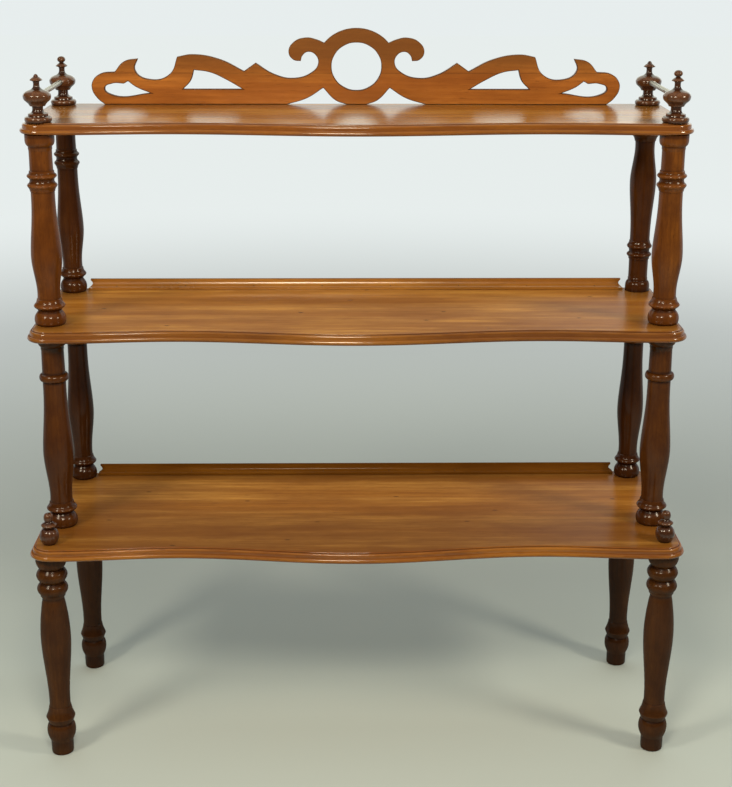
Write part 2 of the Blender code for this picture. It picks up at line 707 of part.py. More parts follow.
# A cove moulded strip along the back of a board, with scooped ends
def make_upstand(label, board):
    half_length = COLUMN_X - REAR_BALL_RADIUS - UPSTAND_END_GAP
    cove_depth = UPSTAND_DEPTH - UPSTAND_TOP
    cove_height = UPSTAND_HEIGHT - UPSTAND_FILLET - UPSTAND_LIP
    profile = [(0.0, 0.0, 0.0)]
    for i in range(COVE_STEPS + 1):
        angle = math.pi / 2 * i / COVE_STEPS
        rise = 1 - math.cos(angle)
        scoop = UPSTAND_END_LIP * rise + UPSTAND_END_SCOOP * math.sin(math.pi * rise)
        profile.append((cove_depth * math.sin(angle), scoop, UPSTAND_FILLET + cove_height * rise))
    profile.append((cove_depth, UPSTAND_END_LIP, UPSTAND_HEIGHT))
    sections = []
    for front_inset, end_inset, height in profile:
        end = half_length - end_inset
        front = BACK_Y - UPSTAND_DEPTH + front_inset
        sections.append((height, [(-end, BACK_Y), (-end, front), (end, front), (end, BACK_Y)]))
    base_z = board.location.z + SHELF_THICKNESS + FIT_GAP
    strip = loft(label, sections, BOARD_COLOUR, (0.0, 0.0, base_z))
    outer_peg = half_length - UPSTAND_PEG_END
    places = (-outer_peg, 0.0, outer_peg)
    peg_together(label, board, strip, places, BACK_Y - UPSTAND_TOP, SMALL_PEG_RADIUS, SMALL_PEG_GRIP)


# The fretwork is stretched between the ring and the ends to suit the space between the rear finials
def fret_x(x):
    reach = COLUMN_X - FINIAL_TORUS_RADIUS - GALLERY_END_GAP
    beyond = abs(x) - GALLERY_RING_WIDE
    if beyond <= 0:
        return x
    stretch = (reach - GALLERY_RING_WIDE) / (FRET_DRAWN_HALF - GALLERY_RING_WIDE)
    return math.copysign(GALLERY_RING_WIDE + beyond * stretch, x)


def fretted(points):
    return [(kind, fret_x(x), z) for kind, x, z in points]


def mirrored(points):
    return [(kind, -x, z) for kind, x, z in reversed(points)]


def oval(wide, high, first, last, steps):
    points = []
    for i in range(steps + 1):
        angle = first + (last - first) * i / steps
        points.append(("S", wide * math.cos(angle), GALLERY_RING_CENTRE + high * math.sin(angle)))
    return points


# The whole outline: the left half, over the top of the ring, and the right half
def gallery_outline():
    left = fretted(FRET_OUTLINE)
    join = math.acos(SCROLL_JOIN / GALLERY_RING_WIDE)
    ring = oval(GALLERY_RING_WIDE, GALLERY_RING_HIGH, math.pi - join, join, RING_ARC_STEPS)
    ring[0] = ("C", *ring[0][1:])
    ring[-1] = ("C", *ring[-1][1:])
    return left + ring + mirrored(left)


def ring_hole():
    wide = GALLERY_RING_WIDE - GALLERY_RING_SIDE_WALL
    high = GALLERY_RING_HIGH - GALLERY_RING_TOP_WALL
    return oval(wide, high, 0.0, 2 * math.pi, RING_HOLE_STEPS)[:-1]


def add_fret_spline(curve, points):
    spline = curve.splines.new("BEZIER")
    spline.bezier_points.add(len(points) - 1)
    spline.use_cyclic_u = True
    spline.resolution_u = FRET_STEPS
    for knot, (kind, x, z) in zip(spline.bezier_points, points):
        knot.co = (x, z, 0.0)
        handle = "VECTOR" if kind == "C" else "AUTO"
        knot.handle_left_type = handle
        knot.handle_right_type = handle


# The flat outline with its openings, as a closed mesh
def gallery_mesh():
    curve = bpy.data.curves.new("gallery", "CURVE")
    curve.dimensions = "2D"
    curve.fill_mode = "BOTH"
    curve.extrude = GALLERY_THICKNESS / 2
    add_fret_spline(curve, gallery_outline())
    add_fret_spline(curve, ring_hole())
    for opening in (FRET_EYE, FRET_WINDOW):
        add_fret_spline(curve, fretted(opening))
        add_fret_spline(curve, mirrored(fretted(opening)))
    outline = bpy.data.objects.new("gallery_outline", curve)
    CUTTERS.objects.link(outline)
    mesh = bpy.data.meshes.new_from_object(outline.evaluated_get(bpy.context.evaluated_depsgraph_get()))
    bpy.data.objects.remove(outline, do_unlink=True)
    work = bmesh.new()
    work.from_mesh(mesh)
    bmesh.ops.remove_doubles(work, verts=work.verts, dist=MERGE_DISTANCE)
    bmesh.ops.recalc_face_normals(work, faces=work.faces)
    work.to_mesh(mesh)
    work.free()
    return mesh


def make_gallery(board):
    base_z = board.location.z + SHELF_THICKNESS + FIT_GAP
    middle_y = BACK_Y - GALLERY_SET_IN - GALLERY_THICKNESS / 2
    gallery = add_part("gallery", gallery_mesh(), GALLERY_COLOUR, (0.0, middle_y, base_z))
    gallery.rotation_euler.x = math.pi / 2
    right_places = [fret_x(x) for x in GALLERY_PEG_PLACES]
    places = [-x for x in reversed(right_places)] + right_places
    peg_together("gallery", board, gallery, places, middle_y, PEG_RADIUS, PEG_GRIP)


def make_boards():
    top = make_shelf("shelf_top", COLUMN_X + TOP_SIDE_OVERHANG, FRONT_Y - TOP_FRONT_OVERHANG, TOP_SHELF_Z)
    middle_half = COLUMN_X + MIDDLE_SIDE_OVERHANG
    middle = make_shelf("shelf_middle", middle_half, FRONT_Y - MIDDLE_FRONT_OVERHANG, MIDDLE_SHELF_Z)
    bottom_half = LEG_X + BOTTOM_SIDE_OVERHANG
    bottom = make_shelf("shelf_bottom", bottom_half, LEG_Y - BOTTOM_FRONT_OVERHANG, BOTTOM_SHELF_Z)
    for board in (top, middle, bottom):
        bore_column_holes(board)
    for side, sign in SIDES:
        bore_through(bottom, sign * LEG_X, LEG_Y, SMALL_HOLE_RADIUS, f"leg_hole_{side}")
    make_gallery(top)
    make_upstand("upstand_middle", middle)
    make_upstand("upstand_bottom", bottom)


make_boards()
make_legs()
make_lower_columns()
make_upper_columns()
make_loose_dowel()
make_finials()
make_rails()
make_corner_finials()
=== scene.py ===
import math
import random

import bmesh
import bpy
from mathutils import Matrix, Vector


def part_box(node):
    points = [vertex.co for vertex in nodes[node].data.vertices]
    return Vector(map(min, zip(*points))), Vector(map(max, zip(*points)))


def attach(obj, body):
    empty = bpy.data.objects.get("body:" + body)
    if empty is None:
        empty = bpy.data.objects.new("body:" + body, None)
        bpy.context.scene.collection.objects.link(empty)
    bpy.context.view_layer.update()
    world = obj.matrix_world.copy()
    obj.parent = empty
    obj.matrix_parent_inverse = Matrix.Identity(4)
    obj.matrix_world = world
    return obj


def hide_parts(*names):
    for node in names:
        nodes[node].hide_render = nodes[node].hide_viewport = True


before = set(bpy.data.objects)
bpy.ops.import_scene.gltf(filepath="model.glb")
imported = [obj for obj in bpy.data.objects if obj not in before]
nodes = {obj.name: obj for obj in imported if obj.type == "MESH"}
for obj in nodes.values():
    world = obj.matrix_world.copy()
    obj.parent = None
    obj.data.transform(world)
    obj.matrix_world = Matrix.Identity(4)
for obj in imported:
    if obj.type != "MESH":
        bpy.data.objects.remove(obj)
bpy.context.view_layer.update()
mm = 0.001
print("frame loaded:", len(nodes), "nodes")


# small helpers for node trees

def addNode(tree, kind, **settings):
    node = tree.nodes.new(kind)
    for key, value in settings.items():
        setattr(node, key, value)
    return node


# each input gets a link or a fixed value
def feed(tree, node, values):
    for label, value in values.items():
        if isinstance(value, bpy.types.NodeSocket):
            tree.links.new(value, node.inputs[label])
        else:
            node.inputs[label].default_value = value


def reckon(tree, operation, first, second=0.0):
    node = addNode(tree, "ShaderNodeMath", operation=operation)
    feed(tree, node, {0: first, 1: second})
    return node.outputs[0]


def times(tree, first, second):
    return reckon(tree, "MULTIPLY", first, second)


def distance(tree, first, second):
    squares = reckon(tree, "ADD", times(tree, first, first), times(tree, second, second))
    return reckon(tree, "SQRT", squares)


def ramp(tree, value, low, high, toLow=0.0, toHigh=1.0):
    node = addNode(tree, "ShaderNodeMapRange", interpolation_type="SMOOTHSTEP")
    feed(tree, node, dict(enumerate((value, low, high, toLow, toHigh))))
    return node.outputs[0]


def cloud(tree, vector, scale, detail=3.0, rough=0.5):
    node = addNode(tree, "ShaderNodeTexNoise")
    feed(tree, node, {"Vector": vector, "Scale": scale, "Detail": detail, "Roughness": rough})
    return node.outputs[0]


def tint(tree, share, first, second):
    node = addNode(tree, "ShaderNodeMix", data_type="RGBA")
    feed(tree, node, {0: share, 6: first, 7: second})
    return node.outputs[2]


def stretched(tree, vector, scale, turn=(0, 0, 0)):
    node = addNode(tree, "ShaderNodeMapping")
    feed(tree, node, {"Vector": vector, "Rotation": turn, "Scale": scale})
    return node.outputs[0]


def splitUp(tree, vector):
    node = addNode(tree, "ShaderNodeSeparateXYZ")
    feed(tree, node, {0: vector})
    return node.outputs


def bumps(tree, height, strength, depth):
    node = addNode(tree, "ShaderNodeBump")
    feed(tree, node, {"Height": height, "Strength": strength, "Distance": depth})
    return node


def own(tree, name, output="Fac"):
    return addNode(tree, "ShaderNodeAttribute", attribute_name=name).outputs[output]


def newFinish(name):
    finish = bpy.data.materials.new(name)
    finish.use_nodes = True
    tree = finish.node_tree
    place = addNode(tree, "ShaderNodeTexCoord").outputs["Object"]
    return finish, tree, tree.nodes["Principled BSDF"], place


# painted shade round the feet of the posts and along the back of a board; the front and left side are darker
# too
paintedShadeReach = {"post": (0.024, 0.085), "back": (-0.055, 0.012), "front": (-0.03, 0.12),
              "left": (-0.45, -0.15)}


# boards carry: posts (half their spacing, front row, rear row) and the shares of darkening at back, front and
# left
def boardPaintedShade(tree, place, depth):
    spot = splitUp(tree, place)
    posts = splitUp(tree, own(tree, "posts", "Vector"))
    shares = splitUp(tree, own(tree, "sideShade", "Vector"))
    aside = reckon(tree, "SUBTRACT", reckon(tree, "ABSOLUTE", spot["X"]), posts["X"])
    front = reckon(tree, "SUBTRACT", spot["Y"], posts["Y"])
    rear = reckon(tree, "SUBTRACT", spot["Y"], posts["Z"])
    nearest = reckon(tree, "MINIMUM", reckon(tree, "ABSOLUTE", front), reckon(tree, "ABSOLUTE", rear))
    paintedShade = ramp(tree, distance(tree, aside, nearest), *paintedShadeReach["post"], depth, 0.0)
    sides = (
        (shares["X"], ramp(tree, rear, *paintedShadeReach["back"])),
        (shares["Y"], ramp(tree, front, *paintedShadeReach["front"], 1.0, 0.0)),
        (shares["Z"], ramp(tree, spot["X"], *paintedShadeReach["left"], 1.0, 0.0)),
    )
    for share, near in sides:
        paintedShade = reckon(tree, "MAXIMUM", paintedShade, times(tree, near, share))
    return paintedShade


# a few small dents and ink spots
dents = {"stretch": (0.55, 1.3, 1.0), "turn": (0, 0, 0.3), "size": (0.010, 0.034), "picked": (0.35, 0.7),
         "depth": 0.75}


def smallDents(tree, spot, scale):
    cells = addNode(tree, "ShaderNodeTexVoronoi", voronoi_dimensions="2D", feature="F1")
    feed(tree, cells, {"Vector": stretched(tree, spot, dents["stretch"], dents["turn"]), "Scale": scale})
    near = ramp(tree, cells.outputs["Distance"], *dents["size"], 1.0, 0.0)
    chance = addNode(tree, "ShaderNodeSeparateColor")
    feed(tree, chance, {0: cells.outputs["Color"]})
    picked = times(tree, near, ramp(tree, chance.outputs[0], *dents["picked"]))
    return times(tree, picked, dents["depth"])


# the gallery is glued from two boards: a darker one above a thin glue line
def gluedBoards(tree, place, colour, look):
    joint = look["glueLine"]
    rise = reckon(tree, "SUBTRACT", splitUp(tree, place)["Z"], joint["height"])
    above = ramp(tree, rise, *joint["fade"])
    colour = tint(tree, times(tree, above, joint["upperDepth"]), colour, joint["upper"])
    onLine = ramp(tree, reckon(tree, "ABSOLUTE", rise), *joint["line"], joint["lineDepth"], 0.0)
    return tint(tree, onLine, colour, look["dark"])


# detail and roughness of each noise in the wood, and where each value starts and ends to count
woodNoise = {
    "bend": (2.0, 0.5), "band": (2.0, 0.5), "streak": (5.0, 0.62), "fibre": (3.0, 0.6),
    "pore": (2.0, 0.5), "blotch": (4.0, 0.6), "gloss": (4.0, 0.6), "wave": (2.0, 0.5),
}
woodRange = {
    "year": (0.05, 0.8), "yearEnd": (0.82, 1.0), "band": (0.36, 0.64), "streak": (0.34, 0.68),
    "fibre": (0.3, 0.7), "pore": (0.60, 0.72), "blotch": (0.35, 0.7), "rim": (0.25, 0.9),
    "rubbedAndHighlit": (0.35, 0.6), "crease": (-0.75, -0.05), "gloss": (0.3, 0.75),
}


# french polished wood; the grain runs along the axis that "stretch" shortens
# pieces carry: figure (where the log's heart lies), relief (rims +, creases -), shade (painted shade, as a
# darker tint), sawn
def polishedWood(name, look):
    finish, tree, shader, place = newFinish(name)
    shifted = addNode(tree, "ShaderNodeVectorMath", operation="ADD")
    feed(tree, shifted, {0: place, 1: own(tree, "figure", "Vector")})
    spot = shifted.outputs[0]
    along = stretched(tree, spot, look["stretch"], look["lean"])

    def noise(part, vector):
        return cloud(tree, vector, look[part + "Scale"], *woodNoise[part])

    def within(part, value, start=0.0, end=1.0):
        return ramp(tree, value, *woodRange[part], start, end)

    # growth rings round the heart, bent by slow noise
    parts = splitUp(tree, along)
    heart = distance(tree, *(parts[axis] for axis in look["across"]))
    bend = times(tree, reckon(tree, "SUBTRACT", noise("bend", along), 0.5), look["bend"])
    year = reckon(tree, "FRACT", times(tree, reckon(tree, "ADD", heart, bend), look["rings"]))
    ring = times(tree, within("year", year), within("yearEnd", year, 1.0, 0.0))

    # broad colour bands, streaks, fibres, pores and blotches
    band = within("band", noise("band", along))
    streak = within("streak", noise("streak", along))
    fibre = noise("fibre", along)
    pore = within("pore", noise("pore", along))
    blotch = within("blotch", noise("blotch", stretched(tree, spot, look["blotchStretch"])))

    # sawn edges are darker, from stain and painted shade; rims are lighter, from wear and painted highlight;
    # creases and the ends that meet a board get painted shade
    relief = own(tree, "relief")
    # lighter rims: wear, and painted highlight along the moulded edges
    rubbedAndHighlit = times(tree, within("rim", relief), within("rubbedAndHighlit", fibre))
    crease = within("crease", relief, 1.0, 0.0)

    colour = tint(tree, band, look["mid"], look["light"])
    layers = (
        (streak, "streak", "deep"), (ring, "ring", "deep"), (within("fibre", fibre), "fibre", "deep"),
        (pore, "pore", "dark"), (blotch, "blotch", "deep"), (own(tree, "sawn"), "sawn", "sawn"),
        (rubbedAndHighlit, "rubAndHighlight", "rubAndHighlight"), (crease, "crease", "dark"),
    )
    for share, part, tone in layers:
        colour = tint(tree, times(tree, share, look[part + "Depth"]), colour, look[tone])
    # painted shade: the shade attribute darkens a piece as if it stood in shade
    colour = tint(tree, own(tree, "shade"), colour, look["dark"])
    # painted shade round the feet of the posts and along the back; the front and left are darker too
    if look["paintedShade"]:
        colour = tint(tree, boardPaintedShade(tree, place, look["paintedShade"]), colour, look["dark"])
    if look["dents"]:
        colour = tint(tree, smallDents(tree, spot, look["dents"]), colour, look["dark"])
    if look["glueLine"]:
        colour = gluedBoards(tree, place, colour, look)

    # polish: even gloss, duller in creases and on worn bands
    gloss = within("gloss", noise("gloss", spot), *look["gloss"])
    gloss = reckon(tree, "ADD", gloss, times(tree, crease, look["creaseDull"]))

    # a slow wave from hand planing, with fibres and pores on it under the coat
    wave = bumps(tree, noise("wave", spot), look["wave"], look["waveDepth"])
    height = reckon(tree, "SUBTRACT", times(tree, fibre, look["fibreHeight"]), pore)
    grain = bumps(tree, height, look["grainBump"], look["grainDepth"])
    feed(tree, grain, {"Normal": wave.outputs[0]})
    feed(tree, shader, {
        "Base Color": colour, "Roughness": gloss, "IOR": look["ior"], "Specular IOR Level": look["specular"],
        "Coat Weight": look["coat"], "Coat Roughness": look["coatRoughness"], "Coat IOR": look["ior"],
        "Normal": grain.outputs[0], "Coat Normal": wave.outputs[0],
    })
    return finish


boardLook = {
    "stretch": (0.085, 1, 1), "lean": (0, 0.35, 0.12), "across": ("Y", "Z"),
    "rings": 62.0, "bend": 0.075, "bendScale": 4.0,
    "bandScale": 20.0, "streakScale": 52.0, "fibreScale": 240.0, "poreScale": 620.0,
    "blotchScale": 12.0, "blotchStretch": (0.38, 1, 1),
    "light": (0.72, 0.350, 0.066, 1), "mid": (0.47, 0.190, 0.025, 1), "deep": (0.25, 0.083, 0.010, 1),
    "dark": (0.055, 0.022, 0.008, 1), "sawn": (0.10, 0.030, 0.008, 1), "rubAndHighlight": (0.50, 0.24, 0.075, 1),
    "streakDepth": 0.54, "ringDepth": 0.22, "fibreDepth": 0.34, "poreDepth": 0.35, "blotchDepth": 0.60,
    "sawnDepth": 0.6, "rubAndHighlightDepth": 0.15, "creaseDepth": 0.75, "dents": 9.0, "paintedShade": 0.45, "glueLine": None,
    "ior": 1.5, "specular": 0.0, "gloss": (0.36, 0.48), "glossScale": 9.0, "creaseDull": 0.2,
    "coat": 0.8, "coatRoughness": 0.22, "wave": 0.25, "waveScale": 5.0, "waveDepth": 0.004,
    "grainBump": 0.10, "grainDepth": 0.0004, "fibreHeight": 0.5,
}
# moulded edges are redder than the faces, and their rims are lighter, partly wear and partly painted
# highlight
edgeLook = dict(
    boardLook, light=(0.380, 0.145, 0.016, 1), mid=(0.270, 0.088, 0.010, 1), deep=(0.140, 0.040, 0.006, 1),
    rubAndHighlight=(0.52, 0.235, 0.040, 1), rubAndHighlightDepth=0.3, dents=0.0, paintedShade=0.0, coat=1.0, coatRoughness=0.14,
    wave=0.05, grainBump=0.02,
)
stripLook = dict(
    edgeLook, light=(0.47, 0.215, 0.036, 1), mid=(0.36, 0.148, 0.021, 1), deep=(0.22, 0.080, 0.010, 1),
    specular=0.3, gloss=(0.22, 0.30), coatRoughness=0.21,
)
# painted shade: a darker, less glossy copy of the strip polish for the bottom upstand, which stands in the
# middle board's shade
shadedStripLook = dict(
    edgeLook, light=(0.23, 0.090, 0.009, 1), mid=(0.165, 0.060, 0.006, 1), deep=(0.10, 0.034, 0.004, 1),
    coat=0.12,
)
galleryLook = dict(
    boardLook, stretch=(-0.085, 1, 1), lean=(0, 0.2, 0.1), across=("Z", "Y"), blotchStretch=(-0.38, 1, 1),
    light=(0.55, 0.220, 0.042, 1), mid=(0.430, 0.150, 0.028, 1), deep=(0.215, 0.066, 0.013, 1),
    sawn=(0.045, 0.015, 0.005, 1), sawnDepth=0.8, streakDepth=0.55, rings=85.0, ringDepth=0.30,
    dents=0.0, paintedShade=0.0, wave=0.2, coat=0.3,
    glueLine={"height": 1.1168, "line": (0.0003, 0.00096), "lineDepth": 0.4,
              "upper": (0.150, 0.060, 0.017, 1), "upperDepth": 0.72, "fade": (-0.012, 0.030)},
)
turnedLook = dict(
    boardLook, stretch=(1, 1, 0.085), lean=(0.25, 0.15, 0), across=("X", "Y"), dents=0.0, paintedShade=0.0,
    rings=150.0, bend=0.022, bendScale=9.0, bandScale=26.0, streakScale=90.0, fibreScale=420.0,
    poreScale=800.0, blotchScale=42.0, blotchStretch=(1, 1, 0.7),
    light=(0.190, 0.063, 0.009, 1), mid=(0.138, 0.042, 0.006, 1), deep=(0.064, 0.018, 0.004, 1),
    dark=(0.014, 0.004, 0.002, 1), rubAndHighlight=(0.30, 0.11, 0.03, 1),
    streakDepth=0.30, ringDepth=0.18, blotchDepth=0.55, rubAndHighlightDepth=0.30, creaseDepth=0.6,
    gloss=(0.34, 0.44), coat=0.45, coatRoughness=0.18, wave=0.02, waveScale=22.0, grainBump=0.04,
)
legLook = dict(
    turnedLook, light=(0.094, 0.034, 0.008, 1), mid=(0.066, 0.023, 0.006, 1), deep=(0.034, 0.012, 0.004, 1),
    rubAndHighlight=(0.18, 0.07, 0.02, 1), coat=0.30,
)
finialLook = dict(
    turnedLook, light=(0.115, 0.042, 0.017, 1), mid=(0.075, 0.027, 0.011, 1), deep=(0.036, 0.013, 0.006, 1),
    rubAndHighlight=(0.30, 0.13, 0.05, 1), coat=1.0, coatRoughness=0.16,
)

boardFinish = polishedWood("board_polish", boardLook)
edgeFinish = polishedWood("edge_polish", edgeLook)
stripFinish = polishedWood("strip_polish", stripLook)
shadedStripFinish = polishedWood("shaded_strip_polish", shadedStripLook)
columnFinish = polishedWood("column_polish", turnedLook)
legFinish = polishedWood("leg_polish", legLook)
finialFinish = polishedWood("finial_polish", finialLook)
galleryFinish = polishedWood("gallery_polish", galleryLook)


# drawn metal rod, dulled and a little spotted
def railMetal(name, look):
    finish, tree, shader, place = newFinish(name)
    drawn = cloud(tree, stretched(tree, place, look["stretch"]), look["drawnScale"])
    spots = ramp(tree, cloud(tree, place, look["spotScale"], *look["spotNoise"]), *look["spotRange"])
    colour = tint(tree, drawn, look["pale"], look["grey"])
    colour = tint(tree, times(tree, spots, look["spotDepth"]), colour, look["spot"])
    feed(tree, shader, {
        "Base Color": colour, "Metallic": 1.0, "Roughness": ramp(tree, spots, 0.0, 1.0, *look["rough"]),
        "Normal": bumps(tree, drawn, look["bump"], look["bumpDepth"]).outputs[0],
    })
    return finish


railLook = {
    "pale": (0.38, 0.36, 0.31, 1), "grey": (0.28, 0.26, 0.22, 1), "spot": (0.15, 0.12, 0.09, 1),
    "stretch": (1, 0.03, 1), "drawnScale": 900.0, "spotScale": 160.0, "spotNoise": (4.0, 0.65),
    "spotRange": (0.52, 0.70), "spotDepth": 0.5, "rough": (0.40, 0.56), "bump": 0.15, "bumpDepth": 0.0003,
}
pinLook = dict(
    railLook, pale=(0.11, 0.08, 0.06, 1), grey=(0.06, 0.045, 0.035, 1), spot=(0.10, 0.045, 0.02, 1),
    drawnScale=700.0, spotScale=900.0, spotDepth=0.7, rough=(0.5, 0.7),
)
railFinish = railMetal("rail_metal", railLook)
pinFinish = railMetal("pin_iron", pinLook)


# bare wood of the hidden pegs and the loose dowel
def bareWood(name, look):
    finish, tree, shader, place = newFinish(name)
    along = stretched(tree, place, look["stretch"])
    fibre = cloud(tree, along, look["fibreScale"], *look["fibreNoise"])
    feed(tree, shader, {
        "Base Color": tint(tree, ramp(tree, fibre, *look["fibreRange"]), look["pale"], look["deep"]),
        "Roughness": ramp(tree, fibre, *look["fibreRange"], *look["rough"]),
        "Normal": bumps(tree, fibre, look["bump"], look["bumpDepth"]).outputs[0],
    })
    return finish


pegLook = {
    "pale": (0.44, 0.29, 0.15, 1), "deep": (0.28, 0.16, 0.075, 1), "stretch": (1, 1, 0.06),
    "fibreScale": 700.0, "fibreNoise": (4.0, 0.6), "fibreRange": (0.3, 0.7), "rough": (0.55, 0.75),
    "bump": 0.3, "bumpDepth": 0.0003,
}
pegFinish = bareWood("peg_wood", pegLook)
for name, node in nodes.items():
    if "peg" in name or name.startswith("dowel"):
        node.data.materials.clear()
        node.data.materials.append(pegFinish)
print("finishes mixed")


# helpers for pieces

def newPiece(name, mesh):
    piece = bpy.data.objects.new(name, mesh)
    bpy.context.scene.collection.objects.link(piece)
    return piece


def newPath(name, points):
    mesh = bpy.data.meshes.new(name)
    mesh.from_pydata(points, [(i, i + 1) for i in range(len(points) - 1)], [])
    return newPiece(name, mesh)


def asMesh(piece):
    depsgraph = bpy.context.evaluated_depsgraph_get()
    depsgraph.update()
    return bpy.data.meshes.new_from_object(piece.evaluated_get(depsgraph))


def smooth(mesh, angle=40):
    work = bmesh.new()
    work.from_mesh(mesh)
    bmesh.ops.remove_doubles(work, verts=work.verts, dist=1e-6)
    bmesh.ops.recalc_face_normals(work, faces=work.faces)
    work.to_mesh(mesh)
    work.free()
    mesh.shade_smooth()
    mesh.set_sharp_from_angle(angle=math.radians(angle))


def setNumbers(mesh, name, values, domain="POINT"):
    mesh.attributes.new(name, "FLOAT", domain).data.foreach_set("value", values)


def setVector(mesh, name, vector):
    values = list(vector) * len(mesh.vertices)
    mesh.attributes.new(name, "FLOAT_VECTOR", "POINT").data.foreach_set("vector", values)


def settle(piece, slot, *replaced):
    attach(piece, "root")
    if replaced:
        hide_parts(*replaced)


def axisOf(node):
    low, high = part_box(node)
    return (low.x + high.x) / 2, (low.y + high.y) / 2


# helpers for geometry nodes: a tree with named inputs, its end, and its use on a piece

def startTree(name, inputs):
    tree = bpy.data.node_groups.new(name, "GeometryNodeTree")
    sockets = {}
    for label, kind in inputs.items():
        socket = tree.interface.new_socket(label, in_out="INPUT", socket_type="NodeSocket" + kind)
        sockets[label] = socket.identifier
    tree.interface.new_socket("Made", in_out="OUTPUT", socket_type="NodeSocketGeometry")
    return tree, sockets, addNode(tree, "NodeGroupInput").outputs


def endTree(tree, geometry, finish):
    realize = addNode(tree, "GeometryNodeRealizeInstances")
    dress = addNode(tree, "GeometryNodeSetMaterial")
    feed(tree, realize, {0: geometry})
    feed(tree, dress, {0: realize.outputs[0], "Material": finish})
    feed(tree, addNode(tree, "NodeGroupOutput"), {0: dress.outputs[0]})


def runTree(piece, tree, sockets, values):
    modifier = piece.modifiers.new(tree.name, "NODES")
    modifier.node_group = tree
    for label, value in values.items():
        modifier[sockets[label]] = value
    mesh = asMesh(piece)
    piece.modifiers.clear()
    piece.data = mesh
    smooth(mesh)


# a path through marks: C is a sharp corner, S a point passed smoothly; both ends are corners
def finePath(marks, perSpan):
    spots = [Vector(mark[1:]) for mark in marks]
    corner = [mark[0] == "C" for mark in marks]

    def heading(i):
        before = spots[i] - spots[i - 1]
        after = spots[i + 1] - spots[i]
        return (before.normalized() + after.normalized()).normalized()

    path = []
    for i in range(len(marks) - 1):
        start, end = spots[i], spots[i + 1]
        reach = (end - start) / 3
        first = start + (reach if corner[i] else heading(i) * reach.length)
        last = end - (reach if corner[i + 1] else heading(i + 1) * reach.length)
        steps = 1 if corner[i] and corner[i + 1] else perSpan
        for k in range(steps):
            t = k / steps
            u = 1 - t
            path.append(u ** 3 * start + 3 * u * u * t * first + 3 * u * t * t * last + t ** 3 * end)
    path.append(spots[-1])
    return path


def swell(start, end, shape, count=7):
    marks = []
    for i in range(1, count):
        t = i / count
        radius = start[0] + (end[0] - start[0]) * shape(t)
        marks.append(("S", radius, start[1] + (end[1] - start[1]) * t))
    return marks


def ease(t):
    return t * t * (3 - 2 * t)


def easeLate(t, late=1.3):
    return ease(t ** late)


def riseFast(t):
    return math.sin(math.pi / 2 * t)


# geometry nodes lathe: a straight axis whose points carry their girth
def latheTree():
    inputs = {"Axis": "Geometry", "Sides": "Int", "Girth": "Float", "Finish": "Material"}
    tree, sockets, given = startTree("lathe", inputs)
    axis = addNode(tree, "GeometryNodeMeshToCurve")
    feed(tree, axis, {"Mesh": given["Axis"]})
    circle = addNode(tree, "GeometryNodeCurvePrimitiveCircle")
    feed(tree, circle, {"Resolution": given["Sides"], "Radius": 1.0})
    girth = addNode(tree, "GeometryNodeInputNamedAttribute", data_type="FLOAT")
    feed(tree, girth, {"Name": "girth"})
    skin = addNode(tree, "GeometryNodeCurveToMesh")
    feed(tree, skin, {
        "Curve": axis.outputs[0], "Profile Curve": circle.outputs[0], "Fill Caps": True,
        "Scale": times(tree, girth.outputs[0], given["Girth"]),
    })
    endTree(tree, skin.outputs[0], given["Finish"])
    return tree, sockets


lathe, latheSockets = latheTree()
lathework = {
    "sides": 72, "perSpan": 5, "leastGirth": 5e-5, "leastDrop": 2e-6,
    "reliefReach": 0.006, "reliefDepth": 0.0018, "probes": 6, "endReach": 0.008, "endGirth": 0.010,
}
dice = random.Random(7)


def radiusAt(profile, height):
    if height >= profile[0][1]:
        return profile[0][0]
    for (r1, z1), (r2, z2) in zip(profile, profile[1:]):
        if z1 >= height >= z2:
            return r1 + (r2 - r1) * ((z1 - height) / (z1 - z2) if z1 > z2 else 0.5)
    return profile[-1][0]


# how far each point of a profile stands proud of its neighbours, from -1 to 1; low where it meets a board,
# which paints shade there
def reliefOf(profile):
    step = lathework["reliefReach"] / lathework["probes"]
    ends = [height for radius, height in (profile[0], profile[-1]) if radius > lathework["endGirth"]]
    values = []
    for radius, height in profile:
        around = [radiusAt(profile, height + step * k)
                  for k in range(-lathework["probes"], lathework["probes"] + 1)]
        proud = (radius - sum(around) / len(around)) / lathework["reliefDepth"]
        proud -= max(max(0.0, 1 - abs(height - end) / lathework["endReach"]) for end in ends)
        values.append(max(-1.0, min(1.0, proud)))
    return values


# marks are millimetres from the seat up, listed from the top down
def turned(name, marks, seat, finish, slot, girth=1.0, upsideDown=False, shade=0.0, heart=0.055):
    axis = axisOf(name)
    top = marks[0][2] * mm
    profile = []
    lowest = math.inf
    for spot in finePath([(kind, r * mm, z * mm) for kind, r, z in marks], lathework["perSpan"]):
        lowest = min(spot.y, lowest - lathework["leastDrop"])
        profile.append((max(spot.x, lathework["leastGirth"]), lowest))
    piece = newPath(name, [(*axis, seat + (top - z if upsideDown else z)) for r, z in profile])
    setNumbers(piece.data, "girth", [r for r, z in profile])
    setNumbers(piece.data, "relief", reliefOf(profile))
    runTree(piece, lathe, latheSockets, {"Sides": lathework["sides"], "Girth": girth, "Finish": finish})
    piece.data.attributes.remove(piece.data.attributes["girth"])
    angle = dice.uniform(0, 2 * math.pi)
    figure = (heart * math.cos(angle) - axis[0], heart * math.sin(angle) - axis[1], dice.uniform(-3, 3))
    setVector(piece.data, "figure", figure)
    setNumbers(piece.data, "shade", [shade] * len(piece.data.vertices))
    settle(piece, slot, name)


